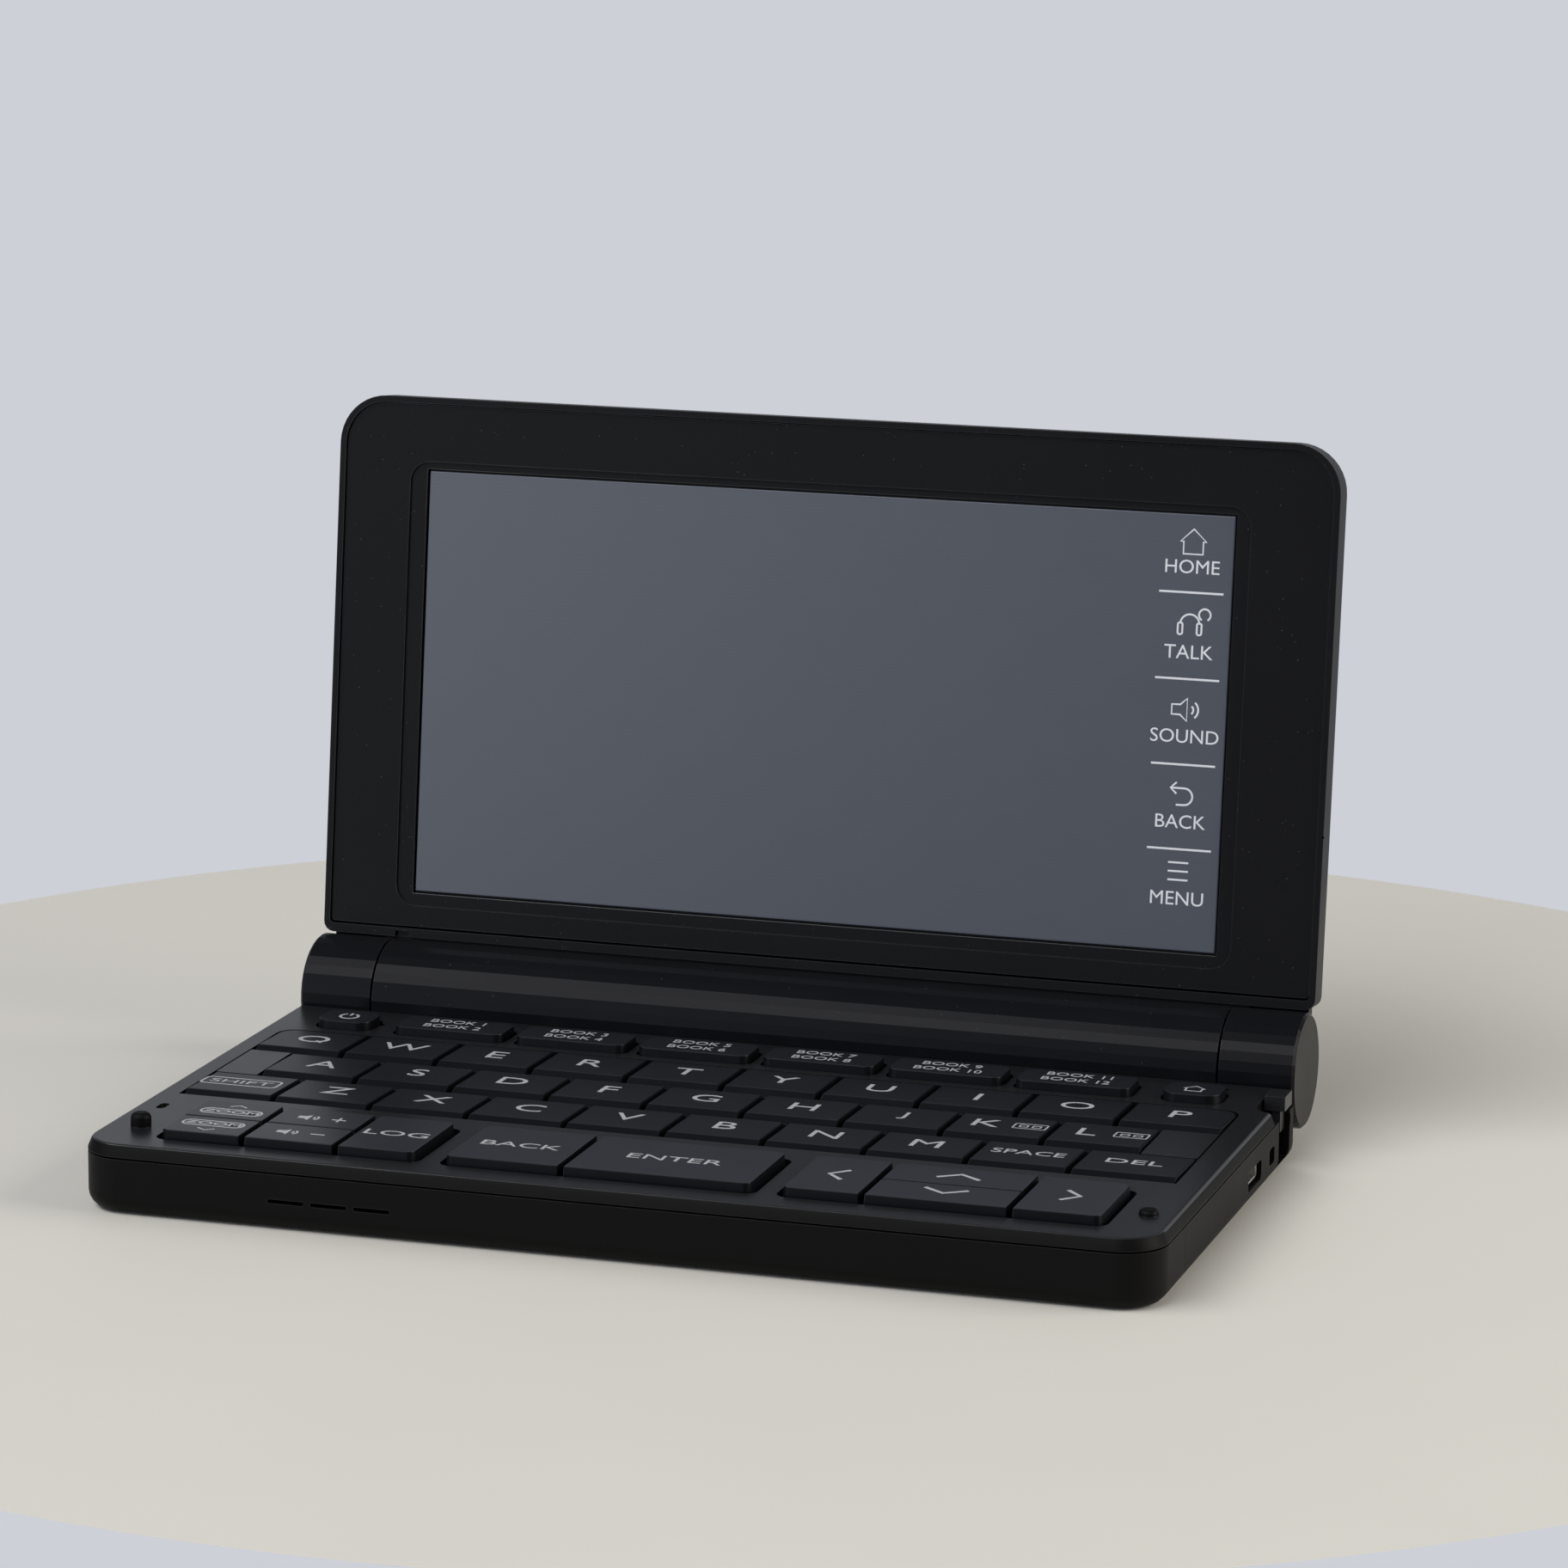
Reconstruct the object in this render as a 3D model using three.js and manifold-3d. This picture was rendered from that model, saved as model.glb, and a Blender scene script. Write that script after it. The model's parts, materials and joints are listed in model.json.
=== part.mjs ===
// Electronic dictionary: a keyboard base, a battery barrel along its rear edge and a hinged screen lid.
// Millimetres, +X to the right, +Y to the rear, +Z up, standing on the flat underside.
// The pieces are drawn with y measured from the hinge axis and moved into the frame at the end.
import * as THREE from "three";
import { mergeVertices } from "three/addons/utils/BufferGeometryUtils.js";
import Module from "manifold-3d";

const wasm = await Module();
wasm.setup();

// Shared gaps and drawing allowances
const fit = 0.3;
const keyFit = 0.25;
const overrun = 1;
const reach = 400;
const weldDistance = 0.0001;
const arcSteps = 5;
const fineFacets = 36;
const smallFacets = 16;
const firstFacetAngle = 5.8;
const knuckleTwist = 3;

// The two cells, end to end in the barrel, set the barrel's bore and length
const cellRadius = 7.15;
const cellLength = 50.5;
const cellNubLength = 1.2;
const cellNubRadius = 2.75;
const cellEdge = 0.4;
const cellFacets = 24;
const cellEndRoom = 0.65;

// Battery barrel, its cover and the hinge knuckles
const barrelWall = 0.65;
const barrelRadius = cellRadius + fit + barrelWall;
const bayHalfLength = keyFit + cellLength + cellEndRoom;
const bulkheadLength = 11.15;
const barrelHalfLength = bayHalfLength + bulkheadLength;
const coverSeat = 0.6;
const coverLowAngle = -95.8;
const coverHighAngle = 64.2;
const wedgeSteps = 4;
const knuckleLength = 10.75;
const knuckleEnd = barrelHalfLength + fit + knuckleLength;
const knuckleEdge = 0.4;
const pinRadius = 2;
const pinLength = 8.35;

// Overall sizes: the case is as wide as barrel and knuckles, and the lid folds over all of it
const knuckleInset = 0.4;
const halfWidth = knuckleEnd + knuckleInset;
const frontReach = 87;
const cradleFloor = 1.85;
const cradleRadius = barrelRadius + fit;
const hingeHeight = cradleFloor + cradleRadius;
const lidTilt = 6.75;

// Lower case, with y measured from the hinge axis
const caseTop = 7.7;
const caseWall = 1.6;
const caseFloor = 1.5;
const caseCorner = 6;
const caseRearCorner = 2;
const bottomRound = 2.4;
const bottomRoundSteps = 3;
const shoulderGap = 1.1;
const shoulderEnd = shoulderGap - barrelRadius;
const shoulderCorner = 3;
const cradleInset = 2.55;
const cradleHalfWidth = barrelHalfLength - cradleInset;
const cradleStart = -20;
const cradleEnd = 0;
const cradleRound = 1;
const cavityWall = 1.9;
const cavityEnd = -cradleRadius - cavityWall;
const cavityCorner = 3;
const footRadius = 4;
const footDepth = 0.5;
const footSideInset = 12;
const footFrontInset = 9;
const footRearInset = 7;
const footX = halfWidth - footSideInset;
const footFrontY = footFrontInset - frontReach;
const footRearY = shoulderEnd - footRearInset;

// Stylus, lying across the rear of the case with its head at the right
const stylusMargin = 4.6;
const stylusY = -cradleRadius - stylusMargin;
const stylusZ = 6.4;
const stylusRadius = 1.2;
const stylusLength = 86;
const stylusStart = halfWidth - stylusLength;
const stylusTipLength = 4;
const stylusTipRadius = 0.4;
const stylusHeadInset = 0.7;
const stylusHeadLength = 1.2;
const stylusHeadFront = 1.8;
const stylusHeadBack = 0.4;
const stylusTabLength = 2.9;
const stylusTabHalf = 2.1;
const stylusTabShift = 0.1;
const stylusTabGap = 0.6;
const saddleInsets = [12, 38, 66];
const saddleHalf = 1;

// Finger recess at the right rear, where the stylus head sits
const recessAhead = 5.6;
const recessBehind = 0.7;
const recessFront = stylusY - recessAhead;
const recessBack = stylusY + recessBehind;
const recessFloor = 0.9;
const recessDepth = 2.2;
const recessWall = 1.6;
const postGap = 0.4;
const postGapFloor = 1.3;
const recessInner = halfWidth - recessDepth;
const pocketInner = recessInner - recessWall;

// Openings in the front and right walls of the lower case
const slotCount = 3;
const slotSideInset = 30.2;
const slotFirstX = slotSideInset - halfWidth;
const slotPitch = 6.05;
const slotWidth = 5.1;
const slotHeight = 0.55;
const slotZ = 4;
const portAhead = 19.8;
const portY = stylusY - portAhead;
const portZ = 3.9;
const portLength = 7.8;
const portHeight = 2.8;
const strapAhead = 9.6;
const strapY = stylusY - strapAhead;
const strapZ = 4;
const strapLength = 3.1;
const strapHeight = 2.4;
const holeCorner = 0.6;

// Keyboard deck
const deckGap = 0.25;
const deckRise = 1.7;
const deckThickness = 1.3;
const deckSlope = 1.1;
const deckBottom = caseTop + deckGap;
const deckTop = deckBottom + deckRise;
const deckUnderside = deckTop - deckThickness;
const lipThickness = 1;
const lipDepth = 0.8;
const lipBottom = caseTop - lipDepth;
const notchInset = 3.2;
const notchAhead = 8.5;
const notchFront = stylusY - notchAhead;
const pegSideInset = 5.3;
const pegFrontInset = 10.3;
const pegRadius = 1.25;
const pegHeight = 1.9;
const bumperSideInset = 4.2;
const bumperFrontInset = 12.1;
const bumperRadius = 1.1;
const bumperHeight = 0.8;
const slitSideInset = 4;
const slitFrontInset = 20.6;
const slitWidth = 1.1;
const slitLength = 2.4;
const slitDepth = 0.5;
const stylusTabTop = 0.65;

// Key heights
const keyLift = 0.08;
const keyUnderside = deckUnderside + keyLift;
const letterRise = 0.3;
const raisedRise = 1.15;
const letterTop = deckTop + letterRise;
const raisedTop = deckTop + raisedRise;
const letterSkirt = 3.05;
const letterDrop = 0.55;
const stemHalf = 1.2;

// Small keys behind the letters; an edge is the line between a key's gap and the deck
const topMargin = 4.35;
const topKeyDepth = 7.3;
const topKeyBack = -cradleRadius - topMargin;
const topKeyFront = topKeyBack - topKeyDepth;
const functionLeftInset = 19.2;
const functionRightInset = 20.7;
const functionGap = 1.7;
const functionCorner = 1.5;
const powerInset = 7.2;
const homeInset = 16.6;
const roundKeyWidth = 8.4;
const roundKeyCorner = 3.3;

// Front keys, in three groups: the enter key takes the width that the others leave
const frontMargin = 5.25;
const frontKeyDepth = 16.7;
const bottomKeyFront = frontMargin - frontReach;
const bottomKeyBack = bottomKeyFront + frontKeyDepth;
const bottomKeyCorner = 1;
const zoomInset = 9.75;
const zoomWidth = 11.95;
const volumeWidth = 13.3;
const historyWidth = 11.45;
const leftGroupGap = 3.6;
const backWidth = 16.45;
const rightGroupGap = 3.5;
const leftWidth = 11.05;
const upDownWidth = 19.7;
const rightWidth = 12.45;
const rightInset = 8.45;
const zoomEdge = zoomInset - halfWidth;
const volumeEdge = zoomEdge + zoomWidth;
const historyEdge = volumeEdge + volumeWidth;
const historyEnd = historyEdge + historyWidth;
const backEdge = historyEnd + leftGroupGap;
const enterEdge = backEdge + backWidth;
const rightEnd = halfWidth - rightInset;
const rightEdge = rightEnd - rightWidth;
const upDownEdge = rightEdge - upDownWidth;
const leftEdge = upDownEdge - leftWidth;
const enterEnd = leftEdge - rightGroupGap;

// Letter keys, three rows that fill the space between the rows above
const letterLeftInset = 3.45;
const letterRightInset = 4.35;
const letterLeft = letterLeftInset - halfWidth;
const letterRight = halfWidth - letterRightInset;
const firstKeyWidth = 13.25;
const lastKeyWidth = 14.95;
const letterFirstEdge = letterLeft + firstKeyWidth;
const letterPitch = (letterRight - lastKeyWidth - letterFirstEdge) / 8;
const middleFirstEdge = letterFirstEdge - letterPitch / 2;
const letterBackGap = 1.7;
const letterFrontGap = 5.35;
const letterBack = topKeyFront - letterBackGap;
const letterFront = bottomKeyBack + letterFrontGap;
const letterRowPitch = (letterBack - letterFront) / 3;
const letterFlat = letterRowPitch - letterSkirt - keyFit - keyFit;

// Contact sheet, circuit board, speaker, socket and bosses inside the base
const boardBottom = 5.4;
const boardThickness = 0.8;
const boardTop = boardBottom + boardThickness;
const matLift = 0.1;
const matThickness = 0.6;
const matBottom = boardTop + matLift;
const matTop = matBottom + matThickness;
const stemGap = 0.7;
const stemBottom = matTop + stemGap;
const boardSideMargin = 6;
const boardFrontMargin = 4.4;
const boardRearMargin = 2.2;
const boardHalfWidth = halfWidth - boardSideMargin;
const boardFront = boardFrontMargin - frontReach;
const boardBack = stylusY - boardRearMargin;
const boardCorner = 2;
const chipHeight = 1.4;
const chipHalf = 6;
const chipX = 8;
const chipY = -50;
const socketDepth = 9;
const socketInnerX = halfWidth - socketDepth;
const socketWall = 0.4;
const socketTongue = 0.6;
const speakerHalf = 9;
const speakerDepth = 6;
const bossRadius = 2.2;
const bossSideInset = 22;
const bossFrontInset = 13;
const bossRearInset = 8.8;
const bossX = halfWidth - bossSideInset;
const bossFrontY = bossFrontInset - frontReach;
const bossRearY = boardBack - bossRearInset;

// Lid shell: depth is measured to the rear and height upward from the hinge axis, lid upright
const lidFront = 1.45;
const lidBack = 6.88;
const lidCornerGap = 0.15;
const lidShortfall = 0.16;
const lidCornerBottom = barrelRadius + lidCornerGap;
const lidTop = frontReach - lidShortfall;
const lidTopCorner = 7;
const lidBottomCorner = 1.5;
const lidBackRound = 1.4;
const lidBackRoundSteps = 3;
const lidWall = 0.9;
const lidBackWall = 1.2;
const lidSill = 1.3;
const lidSeamHeight = 32.5;
const lidSeamWidth = 0.5;
const lidSeamDepth = 0.4;
const lidInnerSide = halfWidth - lidWall;
const lidInnerBottom = lidCornerBottom + lidSill;
const lidInnerTop = lidTop - lidWall;
const lidInnerBack = lidBack - lidBackWall;
const sealFront = 2.2;
const sealBack = 2.9;
const sealGap = 0.12;
const sealBottom = Math.sqrt((barrelRadius + sealGap) ** 2 - sealFront ** 2);

// Screen surround and screen
const bezelInset = 0.4;
const bezelThickness = 1.2;
const bezelStepDepth = 0.35;
const bezelStepCorner = 3;
const bezelFront = lidFront + bezelInset;
const bezelBack = bezelFront + bezelThickness;
const stepLeftInset = 10.9;
const stepRightInset = 12.5;
const stepBottomInset = 4.65;
const stepTopInset = 9.24;
const stepLeft = stepLeftInset - halfWidth;
const stepRight = halfWidth - stepRightInset;
const stepBottom = lidCornerBottom + stepBottomInset;
const stepTop = lidTop - stepTopInset;
const windowLeftInset = 2.5;
const windowRightInset = 2.1;
const windowBottomInset = 1.85;
const windowTopInset = 1.1;
const windowLeft = stepLeft + windowLeftInset;
const windowRight = stepRight - windowRightInset;
const windowBottom = stepBottom + windowBottomInset;
const windowTop = stepTop - windowTopInset;
const glassInset = 0.25;
const moduleMargin = 2;

// Necks of the knuckles, which reach up between the bezel and the back of the lid
const neckInset = 0.35;
const neckInner = barrelHalfLength + neckInset;
const neckOuter = lidInnerSide - fit;
const neckFront = bezelBack + keyFit;
const neckBack = lidInnerBack - fit;
const neckDip = 2.1;
const neckRise = 6.45;
const neckBottom = barrelRadius - neckDip;
const neckTop = lidInnerBottom + neckRise;

// Solids from three.js geometry
function toSolid(geometry) {
  geometry.deleteAttribute("normal");
  geometry.deleteAttribute("uv");
  const welded = mergeVertices(geometry, weldDistance);
  const corners = welded.index.array;
  const kept = [];
  for (let start = 0; start < corners.length; start += 3) {
    const [a, b, c] = corners.slice(start, start + 3);
    if (a !== b && b !== c && c !== a) kept.push(a, b, c);
  }
  const vertProperties = new Float32Array(welded.attributes.position.array);
  const triVerts = new Uint32Array(kept);
  return new wasm.Manifold(new wasm.Mesh({ numProp: 3, vertProperties, triVerts }));
}

function toGeometry(solid) {
  const mesh = solid.getMesh();
  const geometry = new THREE.BufferGeometry();
  geometry.setAttribute("position", new THREE.BufferAttribute(new Float32Array(mesh.vertProperties), 3));
  geometry.setIndex(new THREE.BufferAttribute(new Uint32Array(mesh.triVerts), 1));
  return geometry;
}

function box(left, right, front, back, bottom, top) {
  const geometry = new THREE.BoxGeometry(right - left, back - front, top - bottom);
  geometry.translate((left + right) / 2, (front + back) / 2, (bottom + top) / 2);
  return toSolid(geometry);
}

function joined(solids) {
  return solids.reduce((whole, solid) => whole.add(solid));
}

// Outlines
function outline(left, right, low, high, lowCorner = 0, highCorner = lowCorner) {
  const corners = [
    [right - lowCorner, low + lowCorner, lowCorner],
    [right - highCorner, high - highCorner, highCorner],
    [left + highCorner, high - highCorner, highCorner],
    [left + lowCorner, low + lowCorner, lowCorner],
  ];
  const points = [];
  corners.forEach(([x, y, radius], index) => {
    const steps = radius ? arcSteps : 0;
    for (let step = 0; step <= steps; step += 1) {
      const angle = (Math.PI / 2) * (index - 1 + step / arcSteps);
      points.push([x + radius * Math.cos(angle), y + radius * Math.sin(angle)]);
    }
  });
  return polygon(points);
}

function polygon(points) {
  return new THREE.Shape(points.map(([first, second]) => new THREE.Vector2(first, second)));
}

function circle(radius, facets, firstAngle = 0, centre = [0, 0]) {
  const points = [];
  for (let index = 0; index < facets; index += 1) {
    const angle = THREE.MathUtils.degToRad(firstAngle) + (2 * Math.PI * index) / facets;
    points.push([centre[0] + radius * Math.cos(angle), centre[1] + radius * Math.sin(angle)]);
  }
  return polygon(points);
}

// A round hole whose flats, not its corners, stand at the wanted radius
function boreRadius(radius, facets) {
  return radius / Math.cos(Math.PI / facets);
}

// Prisms: an outline drawn flat is given its thickness along one axis, with one end rounded if asked
function prism(shape, low, high, edge = { size: 0, rise: 0, steps: 1, end: "none" }) {
  const start = edge.end === "high" ? low - edge.rise - overrun : low;
  const stop = edge.end === "low" ? high + edge.rise + overrun : high;
  const geometry = new THREE.ExtrudeGeometry(shape, {
    depth: stop - start - edge.rise - edge.rise,
    bevelEnabled: edge.size > 0,
    bevelThickness: edge.rise,
    bevelSize: edge.size,
    bevelOffset: -edge.size,
    bevelSegments: edge.steps,
  });
  geometry.translate(0, 0, start + edge.rise);
  let solid = toSolid(geometry);
  if (start < low) solid = solid.subtract(box(-reach, reach, -reach, reach, start - overrun, low));
  if (stop > high) solid = solid.subtract(box(-reach, reach, -reach, reach, high, stop + overrun));
  return solid;
}

function turned(solid, first, second, third) {
  const axes = [first, second, third].map((axis) => new THREE.Vector3(...axis));
  return toSolid(toGeometry(solid).applyMatrix4(new THREE.Matrix4().makeBasis(...axes)));
}

// The outline is drawn in y and z and runs from left to right
function prismAcross(shape, left, right, edge) {
  return turned(prism(shape, left, right, edge), [0, 1, 0], [0, 0, 1], [1, 0, 0]);
}

// The outline is drawn in x and z and runs from front to back; the edge end called low is the rear one
function prismBack(shape, front, back, edge) {
  return turned(prism(shape, -back, -front, edge), [1, 0, 0], [0, 0, 1], [0, -1, 0]);
}

function hingeCylinder(radius, left, right) {
  const facetAngle = 180 - firstFacetAngle;
  return prismAcross(circle(radius, fineFacets, facetAngle, [0, hingeHeight]), left, right);
}

function cradleCut() {
  return hingeCylinder(boreRadius(cradleRadius, fineFacets), -reach, reach);
}

function stylusCut(left, right) {
  const radius = boreRadius(stylusRadius + fit, smallFacets);
  return prismAcross(circle(radius, smallFacets, 0, [stylusY, stylusZ]), left, right);
}

// Lower case: a tray with rounded lower edges, hollowed to run under the barrel
function lowerCase() {
  const bottomEdge = { size: bottomRound, rise: bottomRound, steps: bottomRoundSteps, end: "low" };
  const cradleEdge = { size: cradleRound, rise: cradleRound, steps: bottomRoundSteps, end: "low" };
  const tray = outline(-halfWidth, halfWidth, -frontReach, shoulderEnd, caseCorner, shoulderCorner);
  const tongue = outline(-cradleHalfWidth, cradleHalfWidth, cradleStart, cradleEnd, caseRearCorner);
  let solid = prism(tray, 0, caseTop, bottomEdge);
  solid = solid.add(prism(tongue, 0, caseTop, cradleEdge));
  solid = solid.subtract(caseCavity()).subtract(cradleCut());
  solid = joined([solid, ...caseBosses(), ...stylusSaddles()]);
  return solid.subtract(joined(caseOpenings()));
}

function caseCavity() {
  const side = halfWidth - caseWall;
  const front = -frontReach + caseWall;
  const shape = outline(-side, side, front, cavityEnd, caseCorner - caseWall, cavityCorner);
  const room = prism(shape, caseFloor, caseTop + overrun);
  const pocketFront = recessFront - recessWall;
  return room.subtract(box(pocketInner, reach, pocketFront, reach, 0, reach));
}

function caseBosses() {
  const bosses = [];
  for (const x of [-bossX, 0, bossX]) {
    for (const y of [bossFrontY, bossRearY]) {
      const shape = circle(bossRadius, smallFacets, 0, [x, y]);
      bosses.push(prism(shape, caseFloor - footDepth, boardBottom - fit));
    }
  }
  return bosses;
}

function stylusSaddles() {
  const front = boardBack + fit;
  const back = cavityEnd + overrun;
  const bottom = caseFloor - footDepth;
  return saddleInsets.map((inset) => {
    const x = halfWidth - inset;
    return box(x - saddleHalf, x + saddleHalf, front, back, bottom, stylusZ);
  });
}

function caseOpenings() {
  const outside = halfWidth + overrun;
  const wallInside = halfWidth - caseWall - overrun;
  const cuts = [stylusCut(stylusStart - stylusTipLength - overrun, outside)];
  for (const x of [-footX, footX]) {
    for (const y of [footFrontY, footRearY]) {
      cuts.push(prism(circle(footRadius, fineFacets, 0, [x, y]), -overrun, footDepth));
    }
  }
  for (let index = 0; index < slotCount; index += 1) {
    const x = slotFirstX + slotPitch * index;
    const shape = outline(
      x - slotWidth / 2,
      x + slotWidth / 2,
      slotZ - slotHeight / 2,
      slotZ + slotHeight / 2,
    );
    cuts.push(prismBack(shape, -frontReach - overrun, -frontReach + caseWall + overrun));
  }
  const port = outline(
    portY - portLength / 2,
    portY + portLength / 2,
    portZ - portHeight / 2,
    portZ + portHeight / 2,
    holeCorner,
  );
  const strap = outline(
    strapY - strapLength / 2,
    strapY + strapLength / 2,
    strapZ - strapHeight / 2,
    strapZ + strapHeight / 2,
    holeCorner,
  );
  cuts.push(prismAcross(port, wallInside, outside));
  cuts.push(prismAcross(strap, wallInside, outside));
  cuts.push(box(recessInner, outside, recessFront, recessBack, recessFloor, caseTop + overrun));
  cuts.push(box(recessInner, outside, recessBack, recessBack + postGap, postGapFloor, caseTop + overrun));
  return cuts;
}

// Keyboard deck: a plate with sloping sides and a lip inside the case wall, pierced for the keys
function keyboardDeck() {
  const slope = { size: deckSlope, rise: deckTop - deckBottom, steps: 1, end: "high" };
  const plate = outline(-halfWidth, halfWidth, -frontReach, 0, caseCorner, caseRearCorner);
  let solid = prism(plate, deckBottom, deckTop, slope);
  solid = solid.subtract(deckHollow()).add(deckLip());
  solid = solid.add(peg(pegSideInset - halfWidth, pegFrontInset - frontReach, pegRadius, pegHeight));
  const [bumperX, bumperY] = [halfWidth - bumperSideInset, bumperFrontInset - frontReach];
  solid = solid.add(peg(bumperX, bumperY, bumperRadius, bumperHeight));
  return solid.subtract(joined(deckCuts()));
}

function lipOutline(inset) {
  const side = halfWidth - inset;
  const rear = cavityEnd + caseWall - inset;
  return outline(-side, side, -frontReach + inset, rear, caseCorner - inset, cavityCorner);
}

function deckHollow() {
  const inset = caseWall + fit + lipThickness;
  return prism(lipOutline(inset), deckBottom - overrun, deckUnderside);
}

function deckLip() {
  const outer = lipOutline(caseWall + fit);
  const inner = lipOutline(caseWall + fit + lipThickness);
  const ring = prism(outer, lipBottom, deckUnderside);
  const inside = prism(inner, lipBottom - overrun, deckUnderside + overrun);
  return ring.subtract(inside);
}

function peg(x, y, radius, height) {
  return prism(circle(radius, smallFacets, 0, [x, y]), deckUnderside, deckTop + height);
}

function deckCuts() {
  const top = raisedTop + overrun;
  const pocketSide = pocketInner - fit;
  const pocketFront = recessFront - recessWall - fit;
  const notch = outline(halfWidth - notchInset, reach, notchFront, reach, notchInset);
  const cuts = [cradleCut(), prism(notch, 0, top), stylusCut(stylusStart, halfWidth)];
  cuts.push(box(pocketSide, reach, pocketFront, reach, 0, deckBottom));
  const [slitX, slitY] = [slitSideInset - halfWidth, slitFrontInset - frontReach];
  cuts.push(box(
    slitX - slitWidth / 2,
    slitX + slitWidth / 2,
    slitY - slitLength / 2,
    slitY + slitLength / 2,
    deckTop - slitDepth,
    top,
  ));
  for (const [left, right, front, back, corner] of keyOpenings()) {
    cuts.push(prism(outline(left, right, front, back, corner), lipBottom - overrun, top));
  }
  return cuts;
}

// Openings in the deck as left, right, front, back and corner radius
function keyOpenings() {
  const rowBack = (row) => letterBack - row * letterRowPitch;
  const middleRight = middleFirstEdge + letterPitch * middleRow.length;
  const openings = [
    [letterLeft, letterRight, rowBack(1), rowBack(0), 0],
    [middleFirstEdge, middleRight, rowBack(2), rowBack(1), 0],
    [letterLeft, letterRight, rowBack(3), rowBack(2), 0],
  ];
  for (const [first, last] of [[zoomEdge, historyEnd], [backEdge, enterEnd], [leftEdge, rightEnd]]) {
    openings.push([first, last, bottomKeyFront, bottomKeyBack, bottomKeyCorner + keyFit]);
  }
  for (const key of topKeys()) {
    const [left, right] = [key.left - keyFit, key.right + keyFit];
    openings.push([left, right, topKeyFront, topKeyBack, key.corner + keyFit]);
  }
  return openings;
}

// Keys
const named = (ends) => ends.map((end) => `key_${end}`);
const upperRow = named(["q", "w", "e", "r", "t", "y", "u", "i", "o", "p"]);
const middleRow = named(["a", "s", "d", "f", "g", "h", "j", "k", "l"]);
const lowerRow = named(["shift", "z", "x", "c", "v", "b", "n", "m", "space", "delete"]);
const functionRow = named([1, 2, 3, 4, 5, 6].map((number) => `function_${number}`));

function keyStem(x, y) {
  const top = keyUnderside + overrun / 2;
  return box(x - stemHalf, x + stemHalf, y - stemHalf, y + stemHalf, stemBottom, top);
}

// A letter key has a flat top that falls away along its front edge
function letterKey(left, right, back) {
  const keyBack = back - keyFit;
  const bend = keyBack - letterFlat;
  const front = bend - letterSkirt;
  const side = polygon([
    [keyBack, keyUnderside],
    [keyBack, letterTop],
    [bend, letterTop],
    [front, letterTop - letterDrop],
    [front, keyUnderside],
  ]);
  const cap = prismAcross(side, left + keyFit, right - keyFit);
  return cap.add(keyStem((left + right) / 2, (keyBack + front) / 2));
}

function raisedKey(left, right, front, back, corner) {
  const cap = prism(outline(left, right, front, back, corner), keyUnderside, raisedTop);
  return cap.add(keyStem((left + right) / 2, (front + back) / 2));
}

function letterKeys() {
  const keys = [];
  const row = (names, edges, back) => names.forEach((name, index) => {
    keys.push({ name, solid: letterKey(edges[index], edges[index + 1], back) });
  });
  const outerEdges = [letterLeft];
  for (let index = 0; index < upperRow.length - 1; index += 1) {
    outerEdges.push(letterFirstEdge + letterPitch * index);
  }
  outerEdges.push(letterRight);
  const middleEdges = [];
  for (let index = 0; index <= middleRow.length; index += 1) {
    middleEdges.push(middleFirstEdge + letterPitch * index);
  }
  row(upperRow, outerEdges, letterBack);
  row(middleRow, middleEdges, letterBack - letterRowPitch);
  row(lowerRow, outerEdges, letterBack - 2 * letterRowPitch);
  return keys;
}

// Places of the small keys behind the letters
function topKeys() {
  const rowStart = functionLeftInset - halfWidth;
  const rowLength = halfWidth - functionRightInset - rowStart;
  const pitch = (rowLength + functionGap) / functionRow.length;
  const keys = functionRow.map((name, index) => {
    const left = rowStart + pitch * index;
    return { name, left, right: left + pitch - functionGap, corner: functionCorner };
  });
  const powerLeft = powerInset - halfWidth;
  const homeLeft = halfWidth - homeInset;
  for (const [name, left] of [["key_power", powerLeft], ["key_home", homeLeft]]) {
    keys.push({ name, left, right: left + roundKeyWidth, corner: roundKeyCorner });
  }
  return keys;
}

function topRowKeys() {
  return topKeys().map((key) => {
    const [front, back] = [topKeyFront + keyFit, topKeyBack - keyFit];
    return { name: key.name, solid: raisedKey(key.left, key.right, front, back, key.corner) };
  });
}

// The front keys stand side by side in three groups whose outer corners are rounded
function frontGroup(names, edges) {
  const front = bottomKeyFront + keyFit;
  const back = bottomKeyBack - keyFit;
  const [left, right] = [edges[0] + keyFit, edges[names.length] - keyFit];
  const bar = prism(outline(left, right, front, back, bottomKeyCorner), keyUnderside, raisedTop);
  return names.map((name, index) => {
    const sides = [edges[index] + keyFit, edges[index + 1] - keyFit];
    const cap = bar.intersect(box(...sides, front, back, keyUnderside, raisedTop));
    return { name, solid: cap.add(keyStem((sides[0] + sides[1]) / 2, (front + back) / 2)) };
  });
}

function frontKeys() {
  return [
    ...frontGroup(named(["zoom", "volume", "history"]), [zoomEdge, volumeEdge, historyEdge, historyEnd]),
    ...frontGroup(named(["back", "enter"]), [backEdge, enterEdge, enterEnd]),
    ...frontGroup(named(["left", "up_down", "right"]), [leftEdge, upDownEdge, rightEdge, rightEnd]),
  ];
}

// Inside the base
function keyMat() {
  const shape = outline(-boardHalfWidth, boardHalfWidth, boardFront, boardBack, boardCorner);
  return prism(shape, matBottom, matTop);
}

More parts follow.
